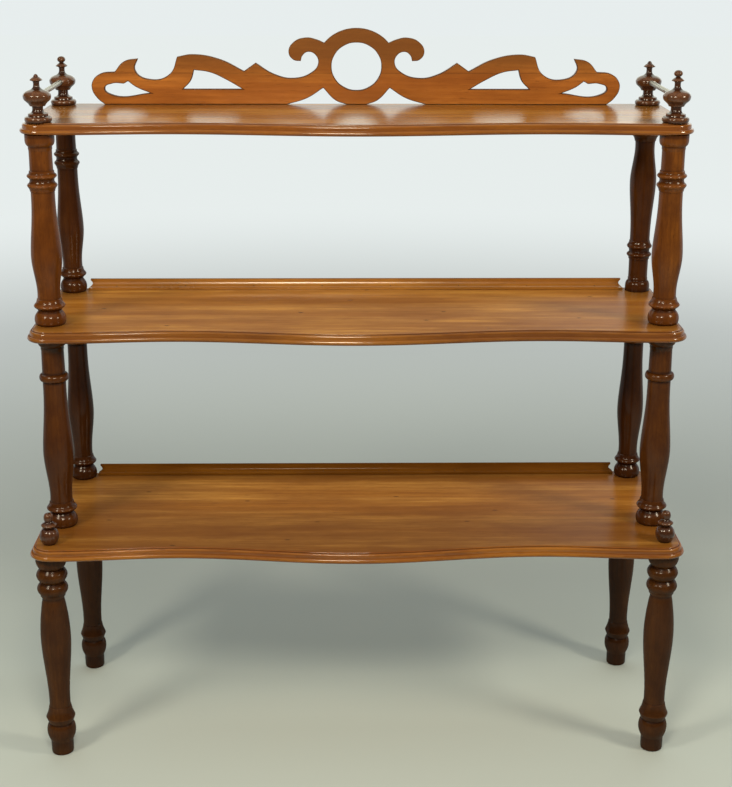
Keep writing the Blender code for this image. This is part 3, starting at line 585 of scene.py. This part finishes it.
def footMarks():
    return [
        ("S", 18.8, 53), ("S", 19.0, 47), ("C", 19.2, 43.2), ("C", 20.5, 42.5), ("C", 20.6, 41.2),
        ("S", 22.5, 36.4), ("S", 24.9, 33.6), ("S", 26.0, 31.4), ("S", 25.1, 29.4), ("S", 21.8, 26.8),
        ("C", 19.2, 23.6), ("S", 20.7, 21.4), ("S", 23.0, 18.4), ("S", 24.9, 15), ("S", 26.0, 10.6),
        ("S", 26.0, 7), ("S", 25.4, 3.6), ("S", 24.3, 1.4), ("C", 23, 0),
    ]


def collarMarks(top):
    return [
        ("C", 24.0, top), ("C", 24.0, top - 9.6), ("S", 23.6, top - 12.6), ("S", 22.2, top - 16),
        ("C", 19.6, top - 18.8), ("C", 19.4, top - 19.4), ("C", 19.4, top - 23.4), ("C", 18.8, top - 24.2),
    ]


# from the shaft through the belly down to the ankle
def bodyMarks(column):
    return [
        ("S", *column["shaft"]), *swell(column["shaft"], column["belly"], easeLate),
        ("S", *column["belly"]), *swell(column["belly"], column["ankle"], ease),
    ]


# rear and lower pieces stand in the shade of the boards; their shade values paint that shade into the colour
upperColumn = {
    "height": 308, "shaft": (19.4, 216), "belly": (25.5, 113), "ankle": (18.8, 53), "tolerance": 1e-4,
    "girth": {"front": 0.975, "rear": 0.89}, "shade": {"front": 0.0, "rear": 0.60},
}
upperMarks = collarMarks(upperColumn["height"]) + [
    ("S", 18.7, 272), ("C", 19.0, 251), ("C", 20.3, 250.3), ("C", 20.4, 248.8), ("S", 21.0, 246.4),
    ("S", 23.2, 244.6), ("S", 24.3, 242.6), ("S", 23.4, 240.6), ("S", 21.4, 239.0), ("C", 20.0, 237.2),
    ("C", 20.0, 234.4), ("S", 21.2, 231.6), ("S", 23.4, 229.7), ("S", 24.5, 227.6), ("S", 23.6, 225.4),
    ("S", 21.8, 223.0), ("C", 20.5, 219.8), ("C", 20.4, 218.2), ("C", 19.4, 217.4),
] + bodyMarks(upperColumn) + footMarks()

lowerColumn = {
    "height": 333, "shaft": (19.4, 250), "belly": (26.0, 130), "ankle": (18.8, 53),
    "girth": {"front": 0.975, "rear": 0.89}, "shade": {"front": 0.50, "rear": 0.74},
}
lowerMarks = collarMarks(lowerColumn["height"]) + [
    ("S", 19.0, 292), ("C", 19.3, 268.6), ("C", 20.3, 267.8), ("S", 22.8, 266.6), ("S", 24.2, 264.2),
    ("S", 24.6, 261.5), ("S", 24.2, 258.8), ("S", 22.8, 256.4), ("C", 20.3, 255.2), ("C", 19.4, 254.4),
] + bodyMarks(lowerColumn) + footMarks()

leg = {
    "neck": (18.1, 289.6), "belly": (25.1, 218), "ankle": (17.6, 100),
    "girth": {"front": 1.0, "rear": 0.96}, "shade": {"front": 0.0, "rear": 0.20},
}
legMarks = [
    ("C", 25.5, 367), ("C", 25.5, 356.6), ("S", 25.0, 353.4), ("S", 23.9, 349.8), ("S", 22.3, 346.6),
    ("S", 20.6, 344.2), ("C", 19.4, 342.6), ("S", 21.5, 339.8), ("S", 23.9, 336.4), ("S", 25.3, 332.8),
    ("S", 25.6, 330.6), ("S", 25.2, 328.2), ("S", 23.8, 324.6), ("S", 21.4, 320.8), ("C", 19.4, 318),
    ("S", 21.6, 315.4), ("S", 23.8, 312.4), ("S", 25.1, 309), ("S", 25.5, 306.6), ("S", 25.1, 303.8),
    ("S", 23.8, 300.8), ("S", 22.2, 298.2), ("C", 20.8, 296.4), ("C", 20.6, 293.6), ("C", 18.5, 291),
    ("S", *leg["neck"]), *swell(leg["neck"], leg["belly"], riseFast),
    ("S", *leg["belly"]), *swell(leg["belly"], leg["ankle"], ease),
    ("S", *leg["ankle"]), ("C", 17.8, 88.6), ("C", 18.8, 87.8), ("C", 18.9, 86.4), ("S", 20.6, 79),
    ("C", 24.0, 69.8), ("S", 24.4, 68.6), ("C", 24.0, 67.4), ("S", 21.9, 61.6), ("C", 20.2, 57),
    ("S", 22.2, 53.6), ("S", 23.7, 48.8), ("S", 24.2, 42), ("S", 23.3, 35), ("S", 20.9, 28),
    ("C", 18.8, 23.6), ("C", 18.6, 3.4), ("S", 17.9, 1.0), ("C", 16.4, 0),
]

for row in ("front", "rear"):
    for side in ("left", "right"):
        upper = f"column_upper_{row}_{side}"
        low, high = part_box(upper)
        height = upperColumn["height"] * mm
        # a column without a spigot below its seat stands upside down
        upsideDown = abs(high.z - low.z - height) < upperColumn["tolerance"]
        seat = low.z if upsideDown else high.z - height
        turned(upper, upperMarks, seat, columnFinish, "column_wood",
               upperColumn["girth"][row], upsideDown, upperColumn["shade"][row])
        lower = f"column_lower_{row}_{side}"
        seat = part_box(lower)[1].z - lowerColumn["height"] * mm
        turned(lower, lowerMarks, seat, columnFinish, "column_wood",
               lowerColumn["girth"][row], shade=lowerColumn["shade"][row])
        turned(f"leg_{row}_{side}", legMarks, 0.0, legFinish, "leg_wood",
               leg["girth"][row], shade=leg["shade"][row])
print("columns and legs turned")

finial = {"withBall": ("front_right", "rear_left"), "heart": 0.03, "cornerHeart": 0.02, "fitGap": 0.0003}
ballMarks = [
    ("C", 0.1, 81.4), ("S", 3.4, 80.7), ("S", 6.2, 78.4), ("S", 6.9, 75.9), ("S", 6.0, 73.1),
    ("C", 3.5, 71.2),
]
nubMarks = [("C", 0.1, 74.4), ("S", 1.9, 73.7), ("S", 3.3, 72.0), ("C", 3.6, 71.0)]
finialMarks = [
    ("C", 4.3, 70.1), ("S", 7.2, 68.1), ("C", 9.6, 65.9), ("S", 9.9, 65.2), ("C", 9.4, 64.5),
    ("C", 5.4, 63.0), ("S", 4.9, 61), ("S", 4.9, 57.5), ("S", 5.5, 54.6), ("S", 8.7, 51.2),
    ("S", 14.2, 49.1), ("S", 18.9, 46.3), ("S", 21.5, 42.6), ("S", 21.9, 39.5), ("S", 20.6, 35.0),
    ("S", 17.0, 31.5), ("S", 14.2, 28.8), ("C", 12.5, 26.2), ("C", 12.2, 25.3), ("C", 8.8, 25.0),
    ("S", 8.5, 21.5), ("S", 8.9, 18), ("S", 10.6, 15.4), ("C", 14.4, 13.9), ("C", 15.5, 13.3),
    ("C", 15.6, 10.4), ("C", 15.9, 9.6), ("S", 18.6, 9.0), ("S", 20.9, 7.2), ("S", 21.5, 4.7),
    ("S", 20.9, 2.0), ("C", 19.5, 0),
]
cornerMarks = [
    ("C", 0.1, 54.4), ("S", 3.4, 53.7), ("S", 6.3, 51.4), ("S", 7.5, 48.0), ("S", 7.7, 44.8),
    ("S", 7.2, 41.6), ("C", 6.3, 39.6), ("S", 7.2, 38.0), ("S", 9.6, 36.2), ("C", 12.0, 34.4),
    ("S", 12.6, 33.4), ("S", 12.3, 32.2), ("S", 10.8, 30.4), ("S", 8.9, 28.8), ("C", 7.3, 27.3),
    ("S", 10.2, 26.3), ("S", 13.6, 22.8), ("S", 15.6, 17.2), ("S", 15.7, 12.2), ("S", 14.2, 6.6),
    ("S", 12.2, 2.4), ("C", 10.6, 0),
]
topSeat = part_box("shelf_top")[1].z + finial["fitGap"]
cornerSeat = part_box("shelf_bottom")[1].z + finial["fitGap"]
for place in ("front_left", "front_right", "rear_left", "rear_right"):
    tip = ballMarks if place in finial["withBall"] else nubMarks
    turned("finial_" + place, tip + finialMarks, topSeat, finialFinish, "finial_wood", heart=finial["heart"])
for side in ("left", "right"):
    turned("corner_finial_" + side, cornerMarks, cornerSeat, finialFinish, "finial_wood",
           heart=finial["cornerHeart"])
print("finials turned")


# side rails, the same lathe on a lying axis; radii and runs in millimetres
rail = {"radius": 4.2, "waist": 0.985, "endRadius": 3.6, "endRun": 1.2, "tipRadius": 2.8, "tipRun": 0.5,
        "sides": 40}
for side in ("left", "right"):
    name = "rail_" + side
    low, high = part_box(name)
    length = (high.y - low.y) / mm
    half = [(rail["tipRadius"], 0), (rail["endRadius"], rail["tipRun"]), (rail["radius"], rail["endRun"]),
            (rail["radius"], length / 3)]
    waist = (rail["radius"] * rail["waist"], length / 2)
    marks = half + [waist] + [(r, length - run) for r, run in reversed(half)]
    middleX, middleZ = (low.x + high.x) / 2, (low.z + high.z) / 2
    piece = newPath(name, [(middleX, low.y + run * mm, middleZ) for r, run in marks])
    setNumbers(piece.data, "girth", [r * mm for r, run in marks])
    runTree(piece, lathe, latheSockets, {"Sides": rail["sides"], "Girth": 1.0, "Finish": railFinish})
    settle(piece, "rail_metal", name)
print("rails drawn")


# serpentine boards, lofted through inset outlines
board = {
    "hollowAt": 0.300, "middleSwell": 0.026, "endSwell": 0.0125, "corner": 0.036,
    "waveSteps": 26, "cornerSteps": 14, "perSpan": 3,
}
# moulding from the underside up: nose, upright band, small roll, crease and arris;
# millimetres in, millimetres up, and relief, which paints shade into the crease and lighter lines (wear and
# painted highlight) on nose and roll
edgeMarks = (
    ("C", 7.0, 0.0, 0.0), ("S", 4.0, 0.35, -0.1), ("S", 1.5, 1.6, 0.0), ("S", 0.25, 3.4, 0.2),
    ("S", 0.0, 4.4, 0.5), ("S", 0.35, 5.8, 0.7), ("S", 1.0, 7.2, 0.6), ("S", 1.9, 8.2, 0.2),
    ("C", 2.9, 8.6, 0.0), ("C", 4.2, 8.7, -0.15), ("C", 4.2, 12.2, 0.1), ("S", 4.25, 13.0, 0.2),
    ("S", 4.6, 14.2, 0.6), ("S", 5.3, 15.4, 0.8), ("S", 6.3, 16.1, 0.5), ("S", 7.4, 16.3, 0.1),
    ("C", 8.7, 15.9, -0.8), ("C", 9.0, 16.0, -0.9), ("C", 9.0, 16.9, -0.3), ("S", 9.5, 17.7, 0.4),
    ("C", 10.6, 18.0, 0.0),
)


def serpentine(x, halfRun):
    if x < board["hollowAt"]:
        rate = math.pi / board["hollowAt"]
        fall = board["middleSwell"] * (1 - math.cos(rate * x)) / 2
        slope = board["middleSwell"] * rate * math.sin(rate * x) / 2
    else:
        rate = math.pi / (halfRun - board["hollowAt"])
        past = x - board["hollowAt"]
        fall = board["middleSwell"] - board["endSwell"] * (1 - math.cos(rate * past)) / 2
        slope = -board["endSwell"] * rate * math.sin(rate * past) / 2
    return fall, slope


# points from the middle of the front to the back corner, each with its direction inwards
def halfOutline(halfWidth, noseY, backY):
    halfRun = halfWidth - board["corner"]
    steps = board["waveSteps"]
    stations = [board["hollowAt"] * i / steps for i in range(steps)]
    stations += [board["hollowAt"] + (halfRun - board["hollowAt"]) * i / steps for i in range(steps)]
    points = []
    for x in stations:
        fall, slope = serpentine(x, halfRun)
        length = math.hypot(slope, 1)
        points.append((x, noseY + fall, -slope / length, 1 / length))
    cornerY = noseY + board["middleSwell"] - board["endSwell"] + board["corner"]
    for i in range(board["cornerSteps"] + 1):
        angle = math.pi / 2 * i / board["cornerSteps"]
        out, ahead = math.sin(angle), math.cos(angle)
        points.append((halfRun + board["corner"] * out, cornerY - board["corner"] * ahead, -out, ahead))
    points.append((halfWidth, backY, -1.0, 0.0))
    return points


# relief rides along as a third coordinate, too small to bend the path
def edgeProfile():
    marks = [(kind, inset * mm, up * mm, proud * mm * mm) for kind, inset, up, proud in edgeMarks]
    return [(spot.x, spot.y, spot.z / (mm * mm)) for spot in finePath(marks, board["perSpan"])]


def loft(name, sections, faceFinish, sideFinish, sharp=32):
    work = bmesh.new()
    relief = work.verts.layers.float.new("relief")
    loops = []
    for height, outline, proud in sections:
        loop = []
        for x, y in outline:
            vert = work.verts.new((x, y, height))
            vert[relief] = proud
            loop.append(vert)
        loops.append(loop)
    for lower, upper in zip(loops, loops[1:]):
        for i in range(len(lower)):
            j = (i + 1) % len(lower)
            side = work.faces.new((lower[i], lower[j], upper[j], upper[i]))
            side.material_index = 1
    work.faces.new(reversed(loops[0]))
    work.faces.new(loops[-1])
    mesh = bpy.data.meshes.new(name)
    work.to_mesh(mesh)
    work.free()
    mesh.materials.append(faceFinish)
    mesh.materials.append(sideFinish)
    mesh.set_sharp_from_angle(angle=math.radians(sharp))
    for face in mesh.polygons:
        face.use_smooth = face.material_index == 1
    return newPiece(name, mesh)


# each board's place in the log, its painted shade on the faces, on the edge and along back, front and left,
# and the posts that stand on it
boards = {
    "shelf_top": {
        "heart": (0.4, 0.03, 0.16), "shade": 0.18, "edgeShade": 0.06, "paintedShade": (0, 0, 0), "post": "finial_"},
    "shelf_middle": {
        "heart": (-1.7, -0.06, 0.11), "shade": 0.04, "edgeShade": 0.28, "paintedShade": (0.1, 0, 0),
        "post": "column_upper_"},
    "shelf_bottom": {
        "heart": (2.3, 0.04, 0.13), "shade": 0.15, "edgeShade": 0.0, "paintedShade": (0.58, 0.36, 0.36),
        "post": "column_lower_"},
}
for name, shelf in boards.items():
    low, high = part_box(name)
    half = halfOutline(high.x, low.y, high.y)
    sections = []
    for inset, height, proud in edgeProfile():
        right = [(x + inset * inX, y + inset * inY) for x, y, inX, inY in half]
        left = [(-x, y) for x, y in reversed(right[1:])]
        sections.append((low.z + height, left + right, proud))
    piece = loft(name, sections, boardFinish, edgeFinish)
    heartX, heartY, depth = shelf["heart"]
    setVector(piece.data, "figure", (heartX, heartY, depth - high.z))
    # painted shade on the faces, and through edgeShade on the moulded edge
    rim = [shelf["shade"]] * len(sections[0][1])
    edge = [shelf["edgeShade"]] * (len(piece.data.vertices) - 2 * len(rim))
    setNumbers(piece.data, "shade", rim + edge + rim)
    postX, frontY = axisOf(shelf["post"] + "front_right")
    rearY = axisOf(shelf["post"] + "rear_right")[1]
    setVector(piece.data, "posts", (postX, frontY, rearY))
    setVector(piece.data, "sideShade", shelf["paintedShade"])
    settle(piece, "board_wood", name)
print("boards moulded")


# upstands: a cove strip with scooped ends, and a row of small iron pins along its face
# lipRelief and footRelief darken the top lip and the foot through the crease tint
upstand = {
    "height": 0.0178, "top": 0.0035, "fillet": 0.003, "lip": 0.0025, "endLip": 0.003, "endScoop": 0.005,
    "coveSteps": 16, "arris": 0.0006, "lipRelief": (-0.2, -0.55), "footHeight": 0.0009, "footRelief": -0.5,
    "heart": (1.3, 0.05, 0.03),
}
pin = {"gap": 0.118, "radius": 0.0009, "sides": 10, "rings": 6, "vary": (0.8, 1.15), "angle": 38,
       "inset": 0.05}


def pinTree():
    inputs = {"Path": "Geometry", "Count": "Int", "Pin Radius": "Float", "Seed": "Int",
              "Finish": "Material"}
    tree, sockets, given = startTree("pinRow", inputs)
    path = addNode(tree, "GeometryNodeMeshToCurve")
    feed(tree, path, {"Mesh": given["Path"]})
    spaced = addNode(tree, "GeometryNodeResampleCurve")
    feed(tree, spaced, {"Curve": path.outputs[0], "Count": given["Count"]})
    head = addNode(tree, "GeometryNodeMeshUVSphere")
    feed(tree, head, {"Segments": pin["sides"], "Rings": pin["rings"], "Radius": given["Pin Radius"]})
    sizes = addNode(tree, "FunctionNodeRandomValue", data_type="FLOAT")
    feed(tree, sizes, {2: pin["vary"][0], 3: pin["vary"][1], "Seed": given["Seed"]})
    stamp = addNode(tree, "GeometryNodeInstanceOnPoints")
    feed(tree, stamp, {"Points": spaced.outputs[0], "Instance": head.outputs[0], "Scale": sizes.outputs[1]})
    endTree(tree, stamp.outputs[0], given["Finish"])
    return tree, sockets


# the cove from its foot up, as inset at the front, inset at the ends, height and relief
def coveProfile(coveDepth, coveHeight):
    lip, height, arris = upstand["endLip"], upstand["height"], upstand["arris"]
    profile = [(0.0, 0.0, 0.0, upstand["footRelief"]), (0.0, 0.0, upstand["footHeight"], 0.0)]
    for i in range(upstand["coveSteps"] + 1):
        angle = math.pi / 2 * i / upstand["coveSteps"]
        climb = 1 - math.cos(angle)
        scoop = lip * climb + upstand["endScoop"] * math.sin(math.pi * climb)
        profile.append((coveDepth * math.sin(angle), scoop, upstand["fillet"] + coveHeight * climb, 0.0))
    profile.append((coveDepth, lip, height - arris, upstand["lipRelief"][0]))
    profile.append((coveDepth + arris, lip + arris, height, upstand["lipRelief"][1]))
    return profile


pins, pinSockets = pinTree()
coveHeight = upstand["height"] - upstand["fillet"] - upstand["lip"]
upstands = {"upstand_middle": stripFinish, "upstand_bottom": shadedStripFinish}
for number, (name, finish) in enumerate(upstands.items()):
    low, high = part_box(name)
    coveDepth = high.y - low.y - upstand["top"]
    sections = []
    for frontInset, endInset, height, proud in coveProfile(coveDepth, coveHeight):
        end, front = high.x - endInset, low.y + frontInset
        outline = [(-end, high.y), (-end, front), (end, front), (end, high.y)]
        sections.append((low.z + height, outline, proud))
    piece = loft(name, sections, finish, finish)
    heartX, heartY, depth = upstand["heart"]
    setVector(piece.data, "figure", (heartX + number, heartY - low.y, depth - low.z))
    settle(piece, "board_wood", name)

    # pins sit in the lower part of the cove
    angle = math.radians(pin["angle"])
    pinY = low.y + coveDepth * math.sin(angle)
    pinZ = low.z + upstand["fillet"] + coveHeight * (1 - math.cos(angle))
    reach = high.x - pin["inset"]
    pinRow = newPath(name + "_pins", [(-reach, pinY, pinZ), (reach, pinY, pinZ)])
    runTree(pinRow, pins, pinSockets, {
        "Count": int(2 * reach / pin["gap"]) + 1, "Pin Radius": pin["radius"], "Seed": number,
        "Finish": pinFinish,
    })
    settle(pinRow, "rail_metal")
print("upstands run and pinned")


# gallery: fretted board with an oval ring, drawn for a half length of drawnHalf
gallery = {
    "ringCentre": 0.064, "ringWide": 0.070, "ringHigh": 0.064, "sideWall": 0.0275, "topWall": 0.024,
    "scrollJoin": 0.055, "drawnHalf": 0.452, "arris": 0.0013, "arrisSteps": 2, "steps": 14,
    "ringSteps": 10, "holeSteps": 12, "sharp": 50, "flat": 0.99, "heart": (1.1, 0.02, 0.10),
}
fretOutline = (
    ("C", -0.017, 0.000), ("S", -0.036, 0.007), ("C", -0.057, 0.028), ("S", -0.084, 0.011),
    ("C", -0.119, 0.000), ("C", -0.431, 0.000), ("S", -0.4435, 0.0105), ("S", -0.452, 0.027),
    ("S", -0.4495, 0.0405), ("S", -0.437, 0.0515), ("C", -0.412, 0.055), ("S", -0.396, 0.072),
    ("C", -0.372, 0.077), ("S", -0.377, 0.057), ("S", -0.350, 0.042), ("S", -0.318, 0.052),
    ("C", -0.305, 0.080), ("S", -0.280, 0.084), ("S", -0.233, 0.076), ("C", -0.192, 0.056),
    ("C", -0.172, 0.070), ("S", -0.140, 0.051), ("S", -0.108, 0.0445), ("S", -0.077, 0.054),
    ("S", -0.066, 0.067), ("S", -0.068, 0.081), ("S", -0.082, 0.0885), ("S", -0.092, 0.082),
    ("C", -0.095, 0.073), ("S", -0.108, 0.0755), ("S", -0.1157, 0.089), ("S", -0.107, 0.1045),
    ("S", -0.086, 0.112), ("S", -0.068, 0.109),
)
fretEye = (
    ("S", -0.430, 0.027), ("S", -0.417, 0.035), ("C", -0.397, 0.035), ("C", -0.390, 0.039),
    ("S", -0.376, 0.029), ("C", -0.352, 0.019), ("S", -0.420, 0.017),
)
fretWindow = (
    ("C", -0.296, 0.026), ("S", -0.283, 0.040), ("C", -0.277, 0.058), ("S", -0.250, 0.054),
    ("S", -0.221, 0.041), ("C", -0.195, 0.026),
)
low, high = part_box("gallery")
fretStretch = (high.x - gallery["ringWide"]) / (gallery["drawnHalf"] - gallery["ringWide"])


# the ring keeps its shape, and what lies beyond it stretches to the board's length
def fretX(x):
    beyond = abs(x) - gallery["ringWide"]
    if beyond <= 0:
        return x
    return math.copysign(gallery["ringWide"] + beyond * fretStretch, x)


def bothSides(marks):
    left = [(kind, fretX(x), z) for kind, x, z in marks]
    return left, [(kind, -x, z) for kind, x, z in reversed(left)]


def oval(wide, tall, first, last, steps):
    marks = []
    for i in range(steps + 1):
        angle = first + (last - first) * i / steps
        marks.append(("S", wide * math.cos(angle), gallery["ringCentre"] + tall * math.sin(angle)))
    return marks


def addFret(curve, marks):
    spline = curve.splines.new("BEZIER")
    spline.bezier_points.add(len(marks) - 1)
    spline.use_cyclic_u = True
    spline.resolution_u = gallery["steps"]
    for knot, (kind, x, z) in zip(spline.bezier_points, marks):
        knot.co = (x, z, 0.0)
        knot.handle_left_type = knot.handle_right_type = "VECTOR" if kind == "C" else "AUTO"


curve = bpy.data.curves.new("gallery", "CURVE")
curve.dimensions = "2D"
curve.fill_mode = "BOTH"
curve.bevel_depth = gallery["arris"]
curve.bevel_resolution = gallery["arrisSteps"]
curve.extrude = (high.y - low.y) / 2 - gallery["arris"]
curve.offset = -gallery["arris"]
left, right = bothSides(fretOutline)
join = math.acos(gallery["scrollJoin"] / gallery["ringWide"])
ring = oval(gallery["ringWide"], gallery["ringHigh"], math.pi - join, join, gallery["ringSteps"])
for end in (0, -1):
    ring[end] = ("C", *ring[end][1:])
addFret(curve, left + ring + right)
holeWide, holeHigh = gallery["ringWide"] - gallery["sideWall"], gallery["ringHigh"] - gallery["topWall"]
addFret(curve, oval(holeWide, holeHigh, 0, 2 * math.pi, gallery["holeSteps"])[:-1])
for opening in (fretEye, fretWindow):
    for marks in bothSides(opening):
        addFret(curve, marks)
drawing = newPiece("gallery", curve)
mesh = asMesh(drawing)
bpy.data.objects.remove(drawing, do_unlink=True)
mesh.transform(Matrix.Translation((0, (low.y + high.y) / 2, low.z)) @ Matrix.Rotation(math.pi / 2, 4, "X"))
mesh.materials.clear()
mesh.materials.append(galleryFinish)
smooth(mesh, gallery["sharp"])

# sawn edges take more stain than the faces and carry painted shade too; the faces are flat
isEdge = [abs(face.normal.y) < gallery["flat"] for face in mesh.polygons]
setNumbers(mesh, "sawn", [float(edge) for edge in isEdge], "FACE")
for face, edge in zip(mesh.polygons, isEdge):
    face.use_smooth = edge
heartX, heartY, depth = gallery["heart"]
setVector(mesh, "figure", (heartX, heartY - low.y, depth - low.z))
settle(newPiece("gallery", mesh), "gallery_wood", "gallery")
print("gallery fretted")


# floor, light and camera

# the camera sees the pale background; mirrored and refracted rays see it where "share" allows
def backgroundRays(tree, share):
    rays = addNode(tree, "ShaderNodeLightPath").outputs
    mirrored = reckon(tree, "MAXIMUM", rays["Is Glossy Ray"], rays["Is Transmission Ray"])
    return reckon(tree, "MAXIMUM", rays["Is Camera Ray"], times(tree, mirrored, share))


floorLook = {
    "reach": 16.0, "colour": (0.54, 0.62, 0.61, 1), "roughness": 0.8, "specular": 0.2,
    "far": (0.80, 0.85, 0.84, 1), "fade": (0.7, 5.0), "behind": (0.0, 0.8),
}
mesh = bpy.data.meshes.new("floor")
r = floorLook["reach"]
mesh.from_pydata([(-r, -r, 0), (r, -r, 0), (r, r, 0), (-r, r, 0)], [], [(0, 1, 2, 3)])
floor = newPiece("floor", mesh)
floorFinish, tree, shader, place = newFinish("floor_paint")
feed(tree, shader, {
    "Base Color": floorLook["colour"], "Roughness": floorLook["roughness"],
    "Specular IOR Level": floorLook["specular"],
})
glow = addNode(tree, "ShaderNodeEmission")
feed(tree, glow, {"Color": floorLook["far"]})
seen = backgroundRays(tree, ramp(tree, splitUp(tree, place)["Y"], *floorLook["behind"]))
span = addNode(tree, "ShaderNodeVectorMath", operation="LENGTH")
feed(tree, span, {0: place})
share = times(tree, seen, ramp(tree, span.outputs["Value"], *floorLook["fade"]))
mixer = addNode(tree, "ShaderNodeMixShader")
feed(tree, mixer, {0: share, 1: shader.outputs[0], 2: glow.outputs[0]})
feed(tree, tree.nodes["Material Output"], {"Surface": mixer.outputs[0]})
mesh.materials.append(floorFinish)

# the room: a pale wall low behind, lit higher up at the right, a soft ceiling, dim in front;
# the camera sees the pale wall all round
room = {
    "wall": (0.80, 0.85, 0.85, 1), "dim": (0.080, 0.072, 0.058, 1), "ceiling": (0.44, 0.43, 0.40, 1),
    "wallTop": (0.13, 0.18), "ceilingFrom": (0.45, 0.75), "behind": (0.0, 0.5),
    "litFrom": (0.06, 0.22), "litTop": (0.40, 0.60), "lit": 0.5,
}
world = bpy.data.worlds.new("studio")
bpy.context.scene.world = world
world.use_nodes = True
tree = world.node_tree
parts = splitUp(tree, addNode(tree, "ShaderNodeTexCoord").outputs["Generated"])
behind = ramp(tree, parts["Y"], *room["behind"])
lowWall = times(tree, behind, ramp(tree, parts["Z"], *room["wallTop"], 1.0, 0.0))
litHeight = ramp(tree, parts["Z"], *room["litTop"], room["lit"], 0.0)
litWall = times(tree, behind, times(tree, ramp(tree, parts["X"], *room["litFrom"]), litHeight))
light = tint(tree, ramp(tree, parts["Z"], *room["ceilingFrom"]), room["dim"], room["ceiling"])
for share in (litWall, lowWall, backgroundRays(tree, lowWall)):
    light = tint(tree, share, light, room["wall"])
feed(tree, tree.nodes["Background"], {"Color": light, "Strength": 1.0})

# three lamps in a row in front, a little above the finials, a pale card behind and above the top board,
# and a soft fill for the back, which is never mirrored
roundLamp = {"shape": "ELLIPSE", "aim": (0, 0, 0.7), "colour": (1.0, 0.87, 0.66), "mirrored": True}
lamps = {
    "lampLeft": dict(roundLamp, place=(-1.25, -1.15, 1.65), size=(0.42, 0.42), power=13.2),
    "lampMiddle": dict(roundLamp, place=(-0.14, -1.50, 1.65), size=(0.52, 0.36), power=16.5),
    "lampRight": dict(roundLamp, place=(1.62, -0.88, 1.65), size=(0.42, 0.42), power=15.0),
    "card": dict(roundLamp, place=(0.0, 0.75, 1.75), size=(2.60, 1.20), power=13.0, aim=(0, -1, 1.75),
                 shape="RECTANGLE", colour=(0.94, 0.99, 0.86)),
    "fill": dict(roundLamp, place=(0.0, 2.30, 1.30), size=(2.60, 1.60), power=9.0, aim=(0, 0, 0.6),
                 shape="RECTANGLE", colour=(1.0, 0.95, 0.86), mirrored=False),
}
for name, lamp in lamps.items():
    light = bpy.data.lights.new(name, "AREA")
    light.shape = lamp["shape"]
    light.size, light.size_y = lamp["size"]
    light.energy = lamp["power"]
    light.color = lamp["colour"]
    holder = bpy.data.objects.new(name, light)
    spot = Vector(lamp["place"])
    facing = (spot - Vector(lamp["aim"])).to_track_quat("Z", "Y")
    holder.matrix_world = Matrix.Translation(spot) @ facing.to_matrix().to_4x4()
    holder.visible_camera = False
    holder.visible_glossy = lamp["mirrored"]
    bpy.context.scene.collection.objects.link(holder)

eye = {"place": (-0.0284, -2.477, 1.3766), "pitch": 0.3045, "yaw": 0.0174, "roll": 0.0027, "lens": 69.82,
       "sensor": 36.0, "farthest": 100.0}
level = Vector((math.sin(eye["yaw"]), math.cos(eye["yaw"]), 0))
aside = Vector((math.cos(eye["yaw"]), -math.sin(eye["yaw"]), 0))
upright = Vector((0, 0, 1))
ahead = level * math.cos(eye["pitch"]) - upright * math.sin(eye["pitch"])
upward = upright * math.cos(eye["pitch"]) + level * math.sin(eye["pitch"])
rightward = aside * math.cos(eye["roll"]) + upward * math.sin(eye["roll"])
upward = upward * math.cos(eye["roll"]) - aside * math.sin(eye["roll"])
lens = bpy.data.cameras.new("camera")
lens.lens = eye["lens"]
lens.sensor_width = eye["sensor"]
lens.sensor_fit = "AUTO"
lens.clip_end = eye["farthest"]
camera = bpy.data.objects.new("camera", lens)
turnedTo = Matrix((rightward, upward, -ahead)).transposed().to_4x4()
camera.matrix_world = Matrix.Translation(eye["place"]) @ turnedTo
bpy.context.scene.collection.objects.link(camera)
bpy.context.scene.camera = camera
bpy.context.scene.view_settings.view_transform = "Standard"
print("floor, lamps and camera set")
